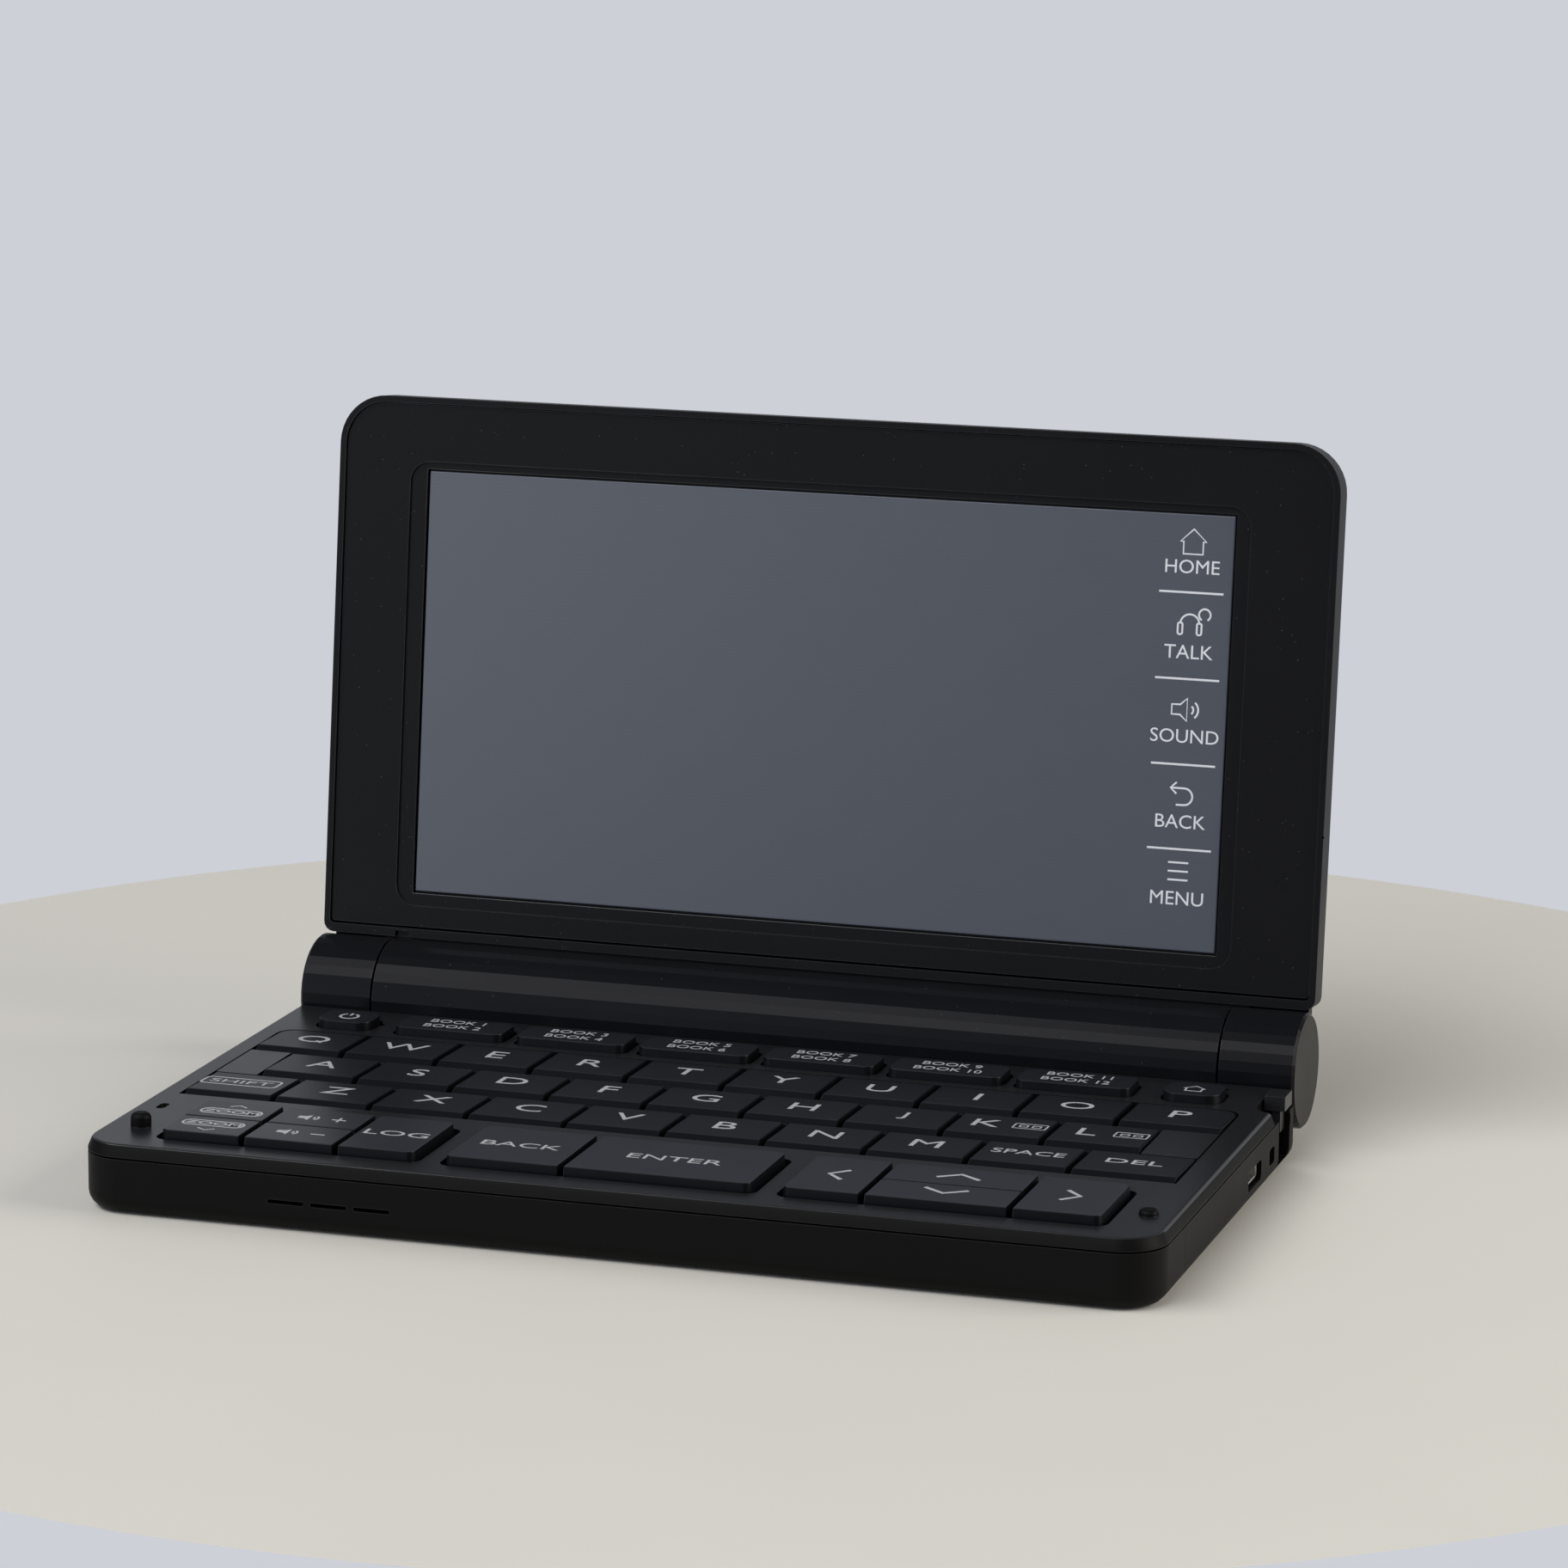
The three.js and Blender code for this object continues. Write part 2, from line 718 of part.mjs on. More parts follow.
// The board carries a chip and the socket behind the side port
function circuitBoard() {
  const shape = outline(-boardHalfWidth, boardHalfWidth, boardFront, boardBack, boardCorner);
  const chip = box(
    chipX - chipHalf,
    chipX + chipHalf,
    chipY - chipHalf,
    chipY + chipHalf,
    boardBottom - chipHeight,
    boardTop,
  );
  const socketEnd = halfWidth - caseWall - fit;
  const [front, back] = [portY - portLength / 2, portY + portLength / 2];
  const bottom = portZ - portHeight / 2;
  const shell = box(socketInnerX, socketEnd, front, back, bottom, boardTop);
  const mouth = box(
    socketInnerX + socketWall,
    socketEnd + overrun,
    front + socketWall,
    back - socketWall,
    bottom + socketWall,
    boardBottom - socketWall,
  );
  const tongue = box(
    socketInnerX,
    socketEnd - socketWall,
    front + socketWall + socketTongue,
    back - socketWall - socketTongue,
    portZ - socketTongue / 2,
    portZ + socketTongue / 2,
  );
  return prism(shape, boardBottom, boardTop).add(chip).add(shell).subtract(mouth).add(tongue);
}

function speaker() {
  const front = -frontReach + caseWall + fit;
  const back = front + speakerDepth;
  const x = slotFirstX + slotPitch;
  return box(x - speakerHalf, x + speakerHalf, front, back, caseFloor + fit, boardBottom - fit);
}

function stylus() {
  const headStart = halfWidth - stylusHeadInset - stylusHeadLength;
  const round = circle(stylusRadius, smallFacets, 0, [stylusY, stylusZ]);
  const rod = prismAcross(round, stylusStart, headStart + fit);
  const tip = new THREE.CylinderGeometry(stylusRadius, stylusTipRadius, stylusTipLength, smallFacets);
  tip.rotateZ(-Math.PI / 2);
  tip.rotateX(Math.PI / smallFacets);
  tip.translate(stylusStart - stylusTipLength / 2, stylusY, stylusZ);
  const top = deckTop + stylusTabTop;
  const head = box(
    headStart,
    headStart + stylusHeadLength,
    stylusY - stylusHeadFront,
    stylusY + stylusHeadBack,
    stylusZ - stylusRadius,
    top,
  );
  const tab = box(
    halfWidth - stylusTabLength,
    halfWidth,
    stylusY - stylusTabHalf - stylusTabShift,
    stylusY + stylusTabHalf - stylusTabShift,
    caseTop + stylusTabGap,
    top,
  );
  return joined([rod, toSolid(tip), head, tab]);
}

// Battery barrel
function coverWedge(shift) {
  const bisector = THREE.MathUtils.degToRad((coverLowAngle + coverHighAngle) / 2);
  const apex = [shift * Math.cos(bisector), hingeHeight + shift * Math.sin(bisector)];
  const points = [apex];
  for (let step = 0; step <= wedgeSteps; step += 1) {
    const degrees = coverLowAngle + ((coverHighAngle - coverLowAngle) * step) / wedgeSteps;
    const angle = THREE.MathUtils.degToRad(degrees);
    const distance = barrelRadius * 2;
    points.push([apex[0] + distance * Math.cos(angle), apex[1] + distance * Math.sin(angle)]);
  }
  return polygon(points);
}

function batteryBarrel() {
  const bayRadius = barrelRadius - barrelWall;
  const seatHalf = bayHalfLength + coverSeat;
  const opening = prismAcross(coverWedge(0), -seatHalf, seatHalf)
    .subtract(hingeCylinder(bayRadius - fit, -reach, reach));
  const bore = prismAcross(
    circle(boreRadius(pinRadius + fit, smallFacets), smallFacets, 0, [0, hingeHeight]),
    barrelHalfLength + fit - pinLength - fit,
    barrelHalfLength + overrun,
  );
  return hingeCylinder(barrelRadius, -barrelHalfLength, barrelHalfLength)
    .subtract(hingeCylinder(bayRadius, -bayHalfLength, bayHalfLength))
    .subtract(opening)
    .subtract(bore)
    .subtract(turned(bore, [-1, 0, 0], [0, -1, 0], [0, 0, 1]));
}

function batteryCover() {
  const half = bayHalfLength + coverSeat - fit;
  const shift = fit / Math.sin(THREE.MathUtils.degToRad((coverHighAngle - coverLowAngle) / 2));
  return hingeCylinder(barrelRadius, -half, half)
    .subtract(hingeCylinder(barrelRadius - barrelWall, -reach, reach))
    .intersect(prismAcross(coverWedge(shift), -half, half));
}

function batteryCell(start) {
  const shoulder = cellLength - cellNubLength;
  const profile = [
    [0, 0],
    [cellRadius - cellEdge, 0],
    [cellRadius, cellEdge],
    [cellRadius, shoulder - cellEdge],
    [cellRadius - cellEdge, shoulder],
    [cellNubRadius, shoulder],
    [cellNubRadius, cellLength],
    [0, cellLength],
  ];
  const points = profile.map((point) => new THREE.Vector2(...point));
  const geometry = new THREE.LatheGeometry(points, cellFacets);
  geometry.rotateZ(-Math.PI / 2);
  geometry.translate(start, 0, hingeHeight);
  return toSolid(geometry);
}

// Hinge knuckle at one end of the barrel, with its pin and the neck that reaches into the lid
function knuckle(side) {
  const start = barrelHalfLength + fit;
  const edge = { size: knuckleEdge, rise: knuckleEdge, steps: 1, end: "high" };
  const facetAngle = firstFacetAngle + knuckleTwist - lidTilt;
  const drum = prismAcross(circle(barrelRadius, fineFacets, 180 - facetAngle), start, knuckleEnd, edge);
  const pin = prismAcross(circle(pinRadius, smallFacets), start - pinLength, start + overrun);
  const neck = box(neckInner, neckOuter, neckFront, neckBack, neckBottom, neckTop);
  const solid = joined([drum, pin, neck]);
  if (side > 0) return solid;
  const geometry = toGeometry(solid).scale(-1, 1, 1);
  const corners = geometry.index.array;
  for (let first = 0; first < corners.length; first += 3) {
    [corners[first], corners[first + 1]] = [corners[first + 1], corners[first]];
  }
  return toSolid(geometry);
}

// Lid
function lidBackCover() {
  const rounded = { size: lidBackRound, rise: lidBackRound, steps: lidBackRoundSteps, end: "low" };
  const shape = outline(-halfWidth, halfWidth, lidCornerBottom, lidTop, lidBottomCorner, lidTopCorner);
  const room = outline(
    -lidInnerSide,
    lidInnerSide,
    lidInnerBottom,
    lidInnerTop,
    lidBottomCorner - lidWall,
    lidTopCorner - lidWall,
  );
  let solid = prismBack(shape, lidFront, lidBack, rounded);
  solid = solid.subtract(prismBack(room, lidFront - overrun, lidInnerBack));
  const middle = barrelHalfLength + fit;
  const barrelRoom = circle(boreRadius(cradleRadius, fineFacets), fineFacets);
  solid = solid.subtract(prismAcross(barrelRoom, -middle, middle));
  solid = solid.add(box(-middle, middle, sealFront, sealBack, sealBottom, lidInnerBottom));
  for (const side of [-1, 1]) {
    const ends = [side * (neckInner - fit), side * (neckOuter + fit)].sort((a, b) => a - b);
    solid = solid.subtract(box(...ends, neckFront - fit, neckBack + fit, 0, lidInnerBottom + overrun));
  }
  return solid.subtract(box(
    halfWidth - lidSeamDepth,
    reach,
    0,
    bezelFront,
    lidSeamHeight - lidSeamWidth / 2,
    lidSeamHeight + lidSeamWidth / 2,
  ));
}

function lidBezel() {
  const side = lidInnerSide - fit;
  const plate = outline(
    -side,
    side,
    lidInnerBottom + fit,
    lidInnerTop - fit,
    lidBottomCorner - lidWall,
    lidTopCorner - lidWall - fit,
  );
  const step = outline(stepLeft, stepRight, stepBottom, stepTop, bezelStepCorner);
  const opening = outline(windowLeft, windowRight, windowBottom, windowTop);
  return prismBack(plate, bezelFront, bezelBack)
    .subtract(prismBack(step, 0, bezelFront + bezelStepDepth))
    .subtract(prismBack(opening, 0, bezelBack + overrun));
}

function displayPanel() {
  const glassFront = bezelFront + bezelStepDepth + glassInset;
  const moduleFront = bezelBack + keyFit;
  const glass = box(
    windowLeft + keyFit,
    windowRight - keyFit,
    glassFront,
    moduleFront + overrun,
    windowBottom + keyFit,
    windowTop - keyFit,
  );
  const module = box(
    windowLeft - moduleMargin,
    windowRight + moduleMargin,
    moduleFront,
    lidInnerBack - fit,
    windowBottom - moduleMargin,
    windowTop + moduleMargin,
  );
  return glass.add(module);
}

// Materials
function material(color, roughness, metalness) {
  return new THREE.MeshStandardMaterial({ color, roughness, metalness });
}

const caseBlack = material(0x1d1c1b, 0.62, 0);
const deckBlack = material(0x2a2d36, 0.5, 0);
const keyBlack = material(0x2b2f3a, 0.48, 0);
const screenGrey = material(0x3b444f, 0.2, 0);
const discGrey = material(0x8b8883, 0.5, 0);
const rubberGrey = material(0x3a3a3c, 0.85, 0);
const boardGreen = material(0x1f4d33, 0.6, 0);
const cellShell = material(0x8a6a3a, 0.35, 0.6);
const speakerGrey = material(0x33363a, 0.5, 0.2);

// The whole object
const base = new THREE.Matrix4().makeTranslation(0, frontY(), 0);
const lid = new THREE.Matrix4()
  .makeTranslation(0, frontY(), hingeHeight)
  .multiply(new THREE.Matrix4().makeRotationX(THREE.MathUtils.degToRad(-lidTilt)));

// The frame stands midway between the front of the base and the back of the barrel
function frontY() {
  return (frontReach - barrelRadius) / 2;
}

const object = new THREE.Group();
object.name = "electronic_dictionary";

function place(name, solid, surface, body) {
  const geometry = toGeometry(solid).applyMatrix4(body).toNonIndexed();
  geometry.computeVertexNormals();
  const mesh = new THREE.Mesh(geometry, surface);
  mesh.name = name;
  object.add(mesh);
}

place("lower_case", lowerCase(), caseBlack, base);
place("keyboard_deck", keyboardDeck(), deckBlack, base);
for (const key of [...topRowKeys(), ...letterKeys(), ...frontKeys()]) {
  place(key.name, key.solid, keyBlack, base);
}
place("key_mat", keyMat(), rubberGrey, base);
place("circuit_board", circuitBoard(), boardGreen, base);
place("speaker", speaker(), speakerGrey, base);
place("stylus", stylus(), deckBlack, base);
place("battery_barrel", batteryBarrel(), deckBlack, base);
place("battery_cover", batteryCover(), deckBlack, base);
place("battery_1", batteryCell(-keyFit - cellLength), cellShell, base);
place("battery_2", batteryCell(keyFit), cellShell, base);
place("left_knuckle", knuckle(-1), discGrey, lid);
place("right_knuckle", knuckle(1), discGrey, lid);
place("lid_back_cover", lidBackCover(), deckBlack, lid);
place("lid_bezel", lidBezel(), deckBlack, lid);
place("display_panel", displayPanel(), screenGrey, lid);

export default object;
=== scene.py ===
"""Looks of an electronic dictionary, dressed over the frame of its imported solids.

The file is laid out as an add-on and is run as a script. Sizes are in metres, in the frame of the solids.
"""

import json
import math

import bpy
from bpy.props import FloatProperty, FloatVectorProperty, IntProperty, PointerProperty
from mathutils import Matrix, Vector


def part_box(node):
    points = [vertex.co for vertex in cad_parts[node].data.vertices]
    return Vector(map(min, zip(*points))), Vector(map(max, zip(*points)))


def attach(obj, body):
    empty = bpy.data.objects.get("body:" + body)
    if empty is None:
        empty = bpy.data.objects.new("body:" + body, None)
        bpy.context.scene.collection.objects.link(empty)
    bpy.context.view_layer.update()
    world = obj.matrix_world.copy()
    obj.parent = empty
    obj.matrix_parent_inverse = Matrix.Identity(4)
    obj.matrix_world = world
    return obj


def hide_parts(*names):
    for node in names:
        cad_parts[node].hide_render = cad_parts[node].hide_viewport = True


bl_info = {
    "name": "Electronic Dictionary Looks",
    "version": (1, 0, 0),
    "blender": (4, 5, 0),
    "location": "View3D > Sidebar > Dictionary",
    "description": "Shapes, materials and studio of a clamshell electronic dictionary",
    "category": "Add Mesh",
}

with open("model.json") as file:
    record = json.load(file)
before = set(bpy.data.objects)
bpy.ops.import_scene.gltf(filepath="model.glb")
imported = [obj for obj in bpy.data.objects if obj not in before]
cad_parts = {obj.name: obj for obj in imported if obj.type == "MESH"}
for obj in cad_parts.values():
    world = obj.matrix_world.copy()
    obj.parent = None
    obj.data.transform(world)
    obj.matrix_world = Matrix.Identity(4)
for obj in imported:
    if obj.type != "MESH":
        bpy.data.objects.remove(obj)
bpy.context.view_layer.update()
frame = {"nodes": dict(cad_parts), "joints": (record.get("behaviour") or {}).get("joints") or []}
nodes = frame["nodes"]

MM = 0.001
PHOTO_LENS = 136.65

# Lid frame: the hinge line and how far the open lid leans back
hinge_joint = next(joint for joint in frame["joints"] if joint["name"] == "lid_hinge")
HINGE = Vector(hinge_joint["pos_m"])
LEAN = math.radians(-hinge_joint["range_deg"][0] - 90)

# Clearances and thicknesses shared by several pieces
FIT = 0.3 * MM
KEY_FIT = 0.25 * MM
OVERRUN = 2 * MM
WELD = 0.001 * MM
INK_RISE = 0.02 * MM
SAME_PLACE = 0.01 * MM
SMALL_HOLE_FACETS = 24
LARGE_ROUND_FACETS = 72

# Lower case
CASE_TOP = 7.7 * MM
CASE_WALL = 1.6 * MM
CASE_FLOOR = 1.5 * MM
CASE_REAR = 32.45 * MM
CASE_REAR_CORNER = 3 * MM
TONGUE_HALF = 60 * MM
TONGUE_START = 19.45 * MM
TONGUE_ROUND = 1 * MM
CRADLE_RADIUS = 8.4 * MM
CAVITY_REAR = 29.15 * MM
FOOT_RADIUS = 4 * MM
FOOT_SEAT = 0.5 * MM
FOOT_FIT = 0.15 * MM
FOOT_SETBACK = 0.02 * MM
FOOT_RIM = 0.9 * MM
FOOT_STEP = 0.3 * MM
FOOT_HOLLOW = 0.12 * MM
FOOT_FACETS = 36
FOOT_X = 62 * MM
FOOT_FRONT_Y = -38.55 * MM
FOOT_REAR_Y = 25.35 * MM
FOOT_PLACES = [(x, y) for y in (FOOT_FRONT_Y, FOOT_REAR_Y) for x in (-FOOT_X, FOOT_X)]
SLOT_COUNT = 3
SLOT_FIRST_X = -43.8 * MM
SLOT_PITCH = 6.05 * MM
SLOT_LENGTH = 5.1 * MM
SLOT_HEIGHT = 0.55 * MM
SLOT_CORNER = 0.24 * MM
SLOT_Z = 4 * MM
STYLUS_Y = 26.45 * MM
STYLUS_Z = 6.4 * MM
STYLUS_RADIUS = 1.2 * MM
PORT_Y = 6.65 * MM
PORT_Z = 3.9 * MM
PORT_LENGTH = 7.8 * MM
PORT_HEIGHT = 2.8 * MM
STRAP_Y = 16.85 * MM
STRAP_Z = 4 * MM
STRAP_LENGTH = 3.1 * MM
STRAP_HEIGHT = 2.4 * MM
OPENING_CORNER = 0.6 * MM
SOCKET_LENGTH = 6.9 * MM
SOCKET_LOW = 2.95 * MM
SOCKET_HIGH = 4.95 * MM
SOCKET_DEEP_X = 66 * MM
SOCKET_MOUTH_X = 73.4 * MM
SOCKET_WALL = 0.3 * MM
SOCKET_CORNER = 0.55 * MM
SOCKET_BACK = 1 * MM
TONGUE_HALF_SHARE = 0.34
SIDE_SEAM_Y = -32.6 * MM
SIDE_SEAM_WIDTH = 0.16 * MM
SIDE_SEAM_DEPTH = 0.2 * MM
RECESS_INNER_X = 71.8 * MM
RECESS_FRONT = 20.85 * MM
RECESS_BACK = 27.15 * MM
RECESS_FLOOR = 0.9 * MM
POST_GAP = 0.4 * MM

# Keyboard deck
DECK_LOW = 7.95 * MM
DECK_TOP = 9.65 * MM
DECK_BAND = 0.2 * MM
DECK_SLOPE = 0.65 * MM
DECK_EDGE = 0.35 * MM
LIP_LOW = 7 * MM
CAP_LOW = 8.43 * MM
NOTCH_X = 70.8 * MM
NOTCH_Y = 17.95 * MM
NOTCH_CORNER = 3 * MM
PEG_X = -68.7 * MM
PEG_Y = -37.25 * MM
PEG_RADIUS = 1.4 * MM
PEG_ROUND = 0.8 * MM
PEG_TOP = 11.55 * MM
PEG_FACETS = 28
BUMPER_X = 69.8 * MM
BUMPER_Y = -35.45 * MM
BUMPER_RADIUS = 1.3 * MM
BUMPER_ROUND = 0.6 * MM
BUMPER_TOP = 10.45 * MM
BLANK_GAP = 0.3 * MM
BLANK_GAP_DEPTH = 0.6 * MM
SLIT_X = -70 * MM
SLIT_Y = -26.95 * MM
SLIT_WIDTH = 1.3 * MM
SLIT_LENGTH = 2.8 * MM
SLIT_DEPTH = 0.5 * MM
SLIT_CORNER = SLIT_WIDTH * 0.48
PIN_HOLE_PLACES = ((-58.4 * MM, 24 * MM), (64.5 * MM, 28.1 * MM))
PIN_HOLE_RADIUS = 0.8 * MM
PIN_HOLE_DEPTH = 0.4 * MM

# Keys
LETTER_FLAT = 10.3 * MM
LETTER_DROP = 0.78 * MM
LETTER_TILT = 0.3 * MM
LETTER_PLACE = 4.55 * MM
LETTER_CORNER = 2.4 * MM
FUNCTION_KEY_CORNER = 1.3 * MM
SMALL_KEY_CORNER = 2.1 * MM
FRONT_KEY_CORNER = 1 * MM
FRONT_KEY_GAP = 0.7 * MM
TOP_NARROWING = 0.2 * MM
ROCKER_GROOVE_WIDTH = 0.36 * MM
ROCKER_GROOVE_DEPTH = 0.5 * MM
STEM_HALF = 1.2 * MM

# Lid, measured square to it from the hinge line
LID_LOW = 8.25 * MM
LID_WALL = 0.9 * MM
LID_BACK_WALL = 1.2 * MM
LID_ROOM_LOW = 9.55 * MM
LID_MIDDLE_HALF = 62.85 * MM
LID_BARREL_ROOM = 8.4 * MM
LID_BOTTOM_CORNER = 1.5 * MM
INNER_LOW_CORNER = 0.6 * MM
LID_SEAM_HEIGHT = 32.5 * MM
LID_SEAM_HALF = 0.2 * MM
LID_SEAM_DEPTH = 0.4 * MM
SEAL_FRONT = 2.2 * MM
SEAL_BACK = 2.9 * MM
SEAL_LOW = 7.2 * MM
SEAL_RADIUS = 8.15 * MM
SEAL_HALF = 64.5 * MM
SEAL_FACETS = 144
NECK_INNER = 62.6 * MM
NECK_OUTER = 73.1 * MM
NECK_FRONT = 3 * MM
LID_NOTCH_LENGTH = 2.2 * MM
LID_NOTCH_HEIGHT = 0.9 * MM
LID_NOTCH_DEPTH = 0.6 * MM

# Screen surround and screen
SURROUND_FIT = 0.12 * MM
STEP_DEPTH = 0.35 * MM
STEP_LEFT = -63.1 * MM
STEP_RIGHT = 61.5 * MM
STEP_LOW = 12.9 * MM
STEP_HIGH = 77.6 * MM
STEP_CORNER = 3 * MM
WINDOW_LEFT = -60.6 * MM
WINDOW_RIGHT = 59.4 * MM
WINDOW_LOW = 14.75 * MM
WINDOW_HIGH = 76.5 * MM
WINDOW_CHAMFER = 0.42 * MM
GLASS_EDGE = 0.2 * MM
GLASS_THICKNESS = 1 * MM
MARK_COLUMN = 53.3 * MM
SEPARATOR_HALF = 4.6 * MM
SEPARATOR_WEIGHT = 1.1
SEPARATOR_HEIGHTS = (65.3 * MM, 53.2 * MM, 41.2 * MM, 29.3 * MM)

# Small roundings of the edges that would be left sharp
SHELL_EDGE = 0.1 * MM
LID_EDGE = 0.12 * MM
FINE_EDGE = 0.08 * MM
BARREL_EDGE = 0.07 * MM
STYLUS_EDGE = 0.06 * MM
SOCKET_EDGE = 0.05 * MM
PEG_EDGE = 0.04 * MM
MODULE_EDGE = 0.2 * MM

# How far a normal points one way, as a share, for a face to count as facing there, or as sloping
FACING = 0.9
ROUGHLY_FACING = 0.5
LETTER_TOP_RISE = 0.96
FLAT_TOP_RISE = 0.6
SLOPE_LEAST = 0.1
SLOPE_MOST = 0.98

# Studio
CAMERA_PLACE = Vector((243.84, -746.6, 220.6)) * MM
CAMERA_AZIMUTH = math.radians(17.421)
CAMERA_TILT = math.radians(11.989)
CAMERA_ROLL = math.radians(0.381)
SENSOR_WIDTH = 36
NEAREST_SEEN = 10 * MM
FARTHEST_SEEN = 20000 * MM
FLOOR_RADIUS = 187 * MM
FLOOR_FACETS = 128
FLOOR_PLACE = Vector((4.3, 22, -0.05)) * MM
FLOOR_CONTACT = 0.5 * MM
LIGHT_TARGET = Vector((0, 0, 30)) * MM

# Lights: place, width, depth, power and colour
KEY_LIGHT = ((-0.52, -0.7, 1.1), 0.7, 1.6, 15, (0.99, 0.99, 1))
SIDE_LIGHT = ((1.05, 0.1, 0.45), 0.8, 0.8, 9, (1, 0.95, 0.88))

# Surround: where a change begins and ends on one axis of the direction, and the colours of its light
WALLS_SPREAD = (-1, 0.6)
CEILING_SPREAD = (0.6, 0.3)
REAR_WALL_SPREAD = (0.5, 0.9)
WINDOW_SIDE_SPREAD = (-0.2, -0.4)
WINDOW_FRONT_SPREAD = (-0.4, -0.8)
WINDOW_SILL_SPREAD = (-0.15, 0.07)
FRONT_WALL_COLOUR = (0.07, 0.07, 0.08)
BACK_WALL_COLOUR = (0.17, 0.175, 0.19)
REAR_WALL_COLOUR = (0.42, 0.43, 0.46)
WINDOW_COLOUR = (2.2, 2.3, 2.55)

UPPER_ROW = [f"key_{letter}" for letter in "qwertyuiop"]
MIDDLE_ROW = [f"key_{letter}" for letter in "asdfghjkl"]
LOWER_ROW = ["key_shift", *[f"key_{letter}" for letter in "zxcvbnm"], "key_space", "key_delete"]
FUNCTION_ROW = [f"key_function_{number}" for number in range(1, 7)]
ROCKERS = ["key_zoom", "key_volume", "key_up_down"]
FRONT_GROUPS = [
    ["key_zoom", "key_volume", "key_history"],
    ["key_back", "key_enter"],
    ["key_left", "key_up_down", "key_right"],
]
TOP_CORNERS = {
    "key_power": SMALL_KEY_CORNER,
    **{name: FUNCTION_KEY_CORNER for name in FUNCTION_ROW},
    "key_home": SMALL_KEY_CORNER,
}

# Legends: lettering is given by its height and stretch, a border by its width, height and corner radius
Q_TAIL = ((0.7 * MM, -0.8 * MM), (1.7 * MM, -1.8 * MM))
Q_TAIL_WIDTH = 0.5 * MM
SHIFT_BORDER = (11 * MM, 3.7 * MM, 0.7 * MM)
SHIFT_LINE = 0.34 * MM
SHIFT_LETTERING = (1.7 * MM, 1.5)
SHIFT_X = -0.6 * MM
TAGGED_KEYS = ("key_k", "key_l")
TAGGED_LETTER_X = -2.2 * MM
TAG_BORDER = (4.5 * MM, 2.6 * MM, 0.3 * MM)
TAG_LINE = 0.24 * MM
TAG_X = 3.8 * MM
TAG_CELL_BORDER = (1.1 * MM, 1 * MM, 0.1 * MM)
TAG_CELL_LINE = 0.22 * MM
TAG_CELL_X = 0.9 * MM
POWER_SIGN = (1.3 * MM, 0.4 * MM)
HOME_SIGN = (2.9 * MM, 2.6 * MM, 0.35 * MM)
BOOK_LETTERING = (1.6 * MM, 1.05)
BOOK_PLACES = (1.6 * MM, -1 * MM)
ZOOM_BORDER = (8.6 * MM, 2.4 * MM, 1 * MM)
ZOOM_LINE = 0.3 * MM
ZOOM_LETTERING = (1.3 * MM, 1.5, 0.02)
ZOOM_WORD_Y = 3.1 * MM
ZOOM_ARROW = (2.4 * MM, 0.8 * MM, 0.3 * MM)
ZOOM_ARROW_Y = 6 * MM
VOLUME_Y = 3.8 * MM
VOLUME_SPEAKER = (3 * MM, 0.3 * MM, 2)
VOLUME_SPEAKER_X = -1.7 * MM
VOLUME_SIGN_X = 2.6 * MM
VOLUME_SIGN_HALF = 1 * MM
VOLUME_SIGN_LINE = 0.36 * MM
UP_DOWN_ARROW = (5.8 * MM, 2 * MM)
UP_Y = 4 * MM
DOWN_Y = -3.2 * MM
SIDE_ARROW = (4.6 * MM, 2.2 * MM)
SCREEN_LETTERING = (1.9 * MM, 1.05)
SCREEN_HOUSE = (3.7 * MM, 3.5 * MM)
HEADPHONES_WIDTH = 4.4 * MM
LOUDSPEAKER_WIDTH = 4 * MM
LOUDSPEAKER_WAVES = 2
RETURN_ARROW_WIDTH = 3.8 * MM
MENU_WIDTH = 2.9 * MM
KEY_WORDS = {
    "key_space": ("SPACE", 2.2 * MM, 1.15),
    "key_delete": ("DEL", 2.2 * MM, 1.45),
    "key_history": ("LOG", 2.2 * MM, 1.5),
    "key_back": ("BACK", 2.1 * MM, 1.45),
    "key_enter": ("ENTER", 2.1 * MM, 1.45),
}

# The words beside the screen, with the height of the symbol and that of the word
SCREEN_WORDS = {
    "HOME": (72.4 * MM, 68.9 * MM),
    "TALK": (60.9 * MM, 57 * MM),
    "SOUND": (48.9 * MM, 45.2 * MM),
    "BACK": (36.9 * MM, 33.2 * MM),
    "MENU": (26.2 * MM, 22.4 * MM),
}


def length(name, description, default):
    return FloatProperty(name=name, description=description, default=default, unit="LENGTH")


def tint(name, description, *default):
    return FloatVectorProperty(name=name, description=description, default=default, subtype="COLOR")


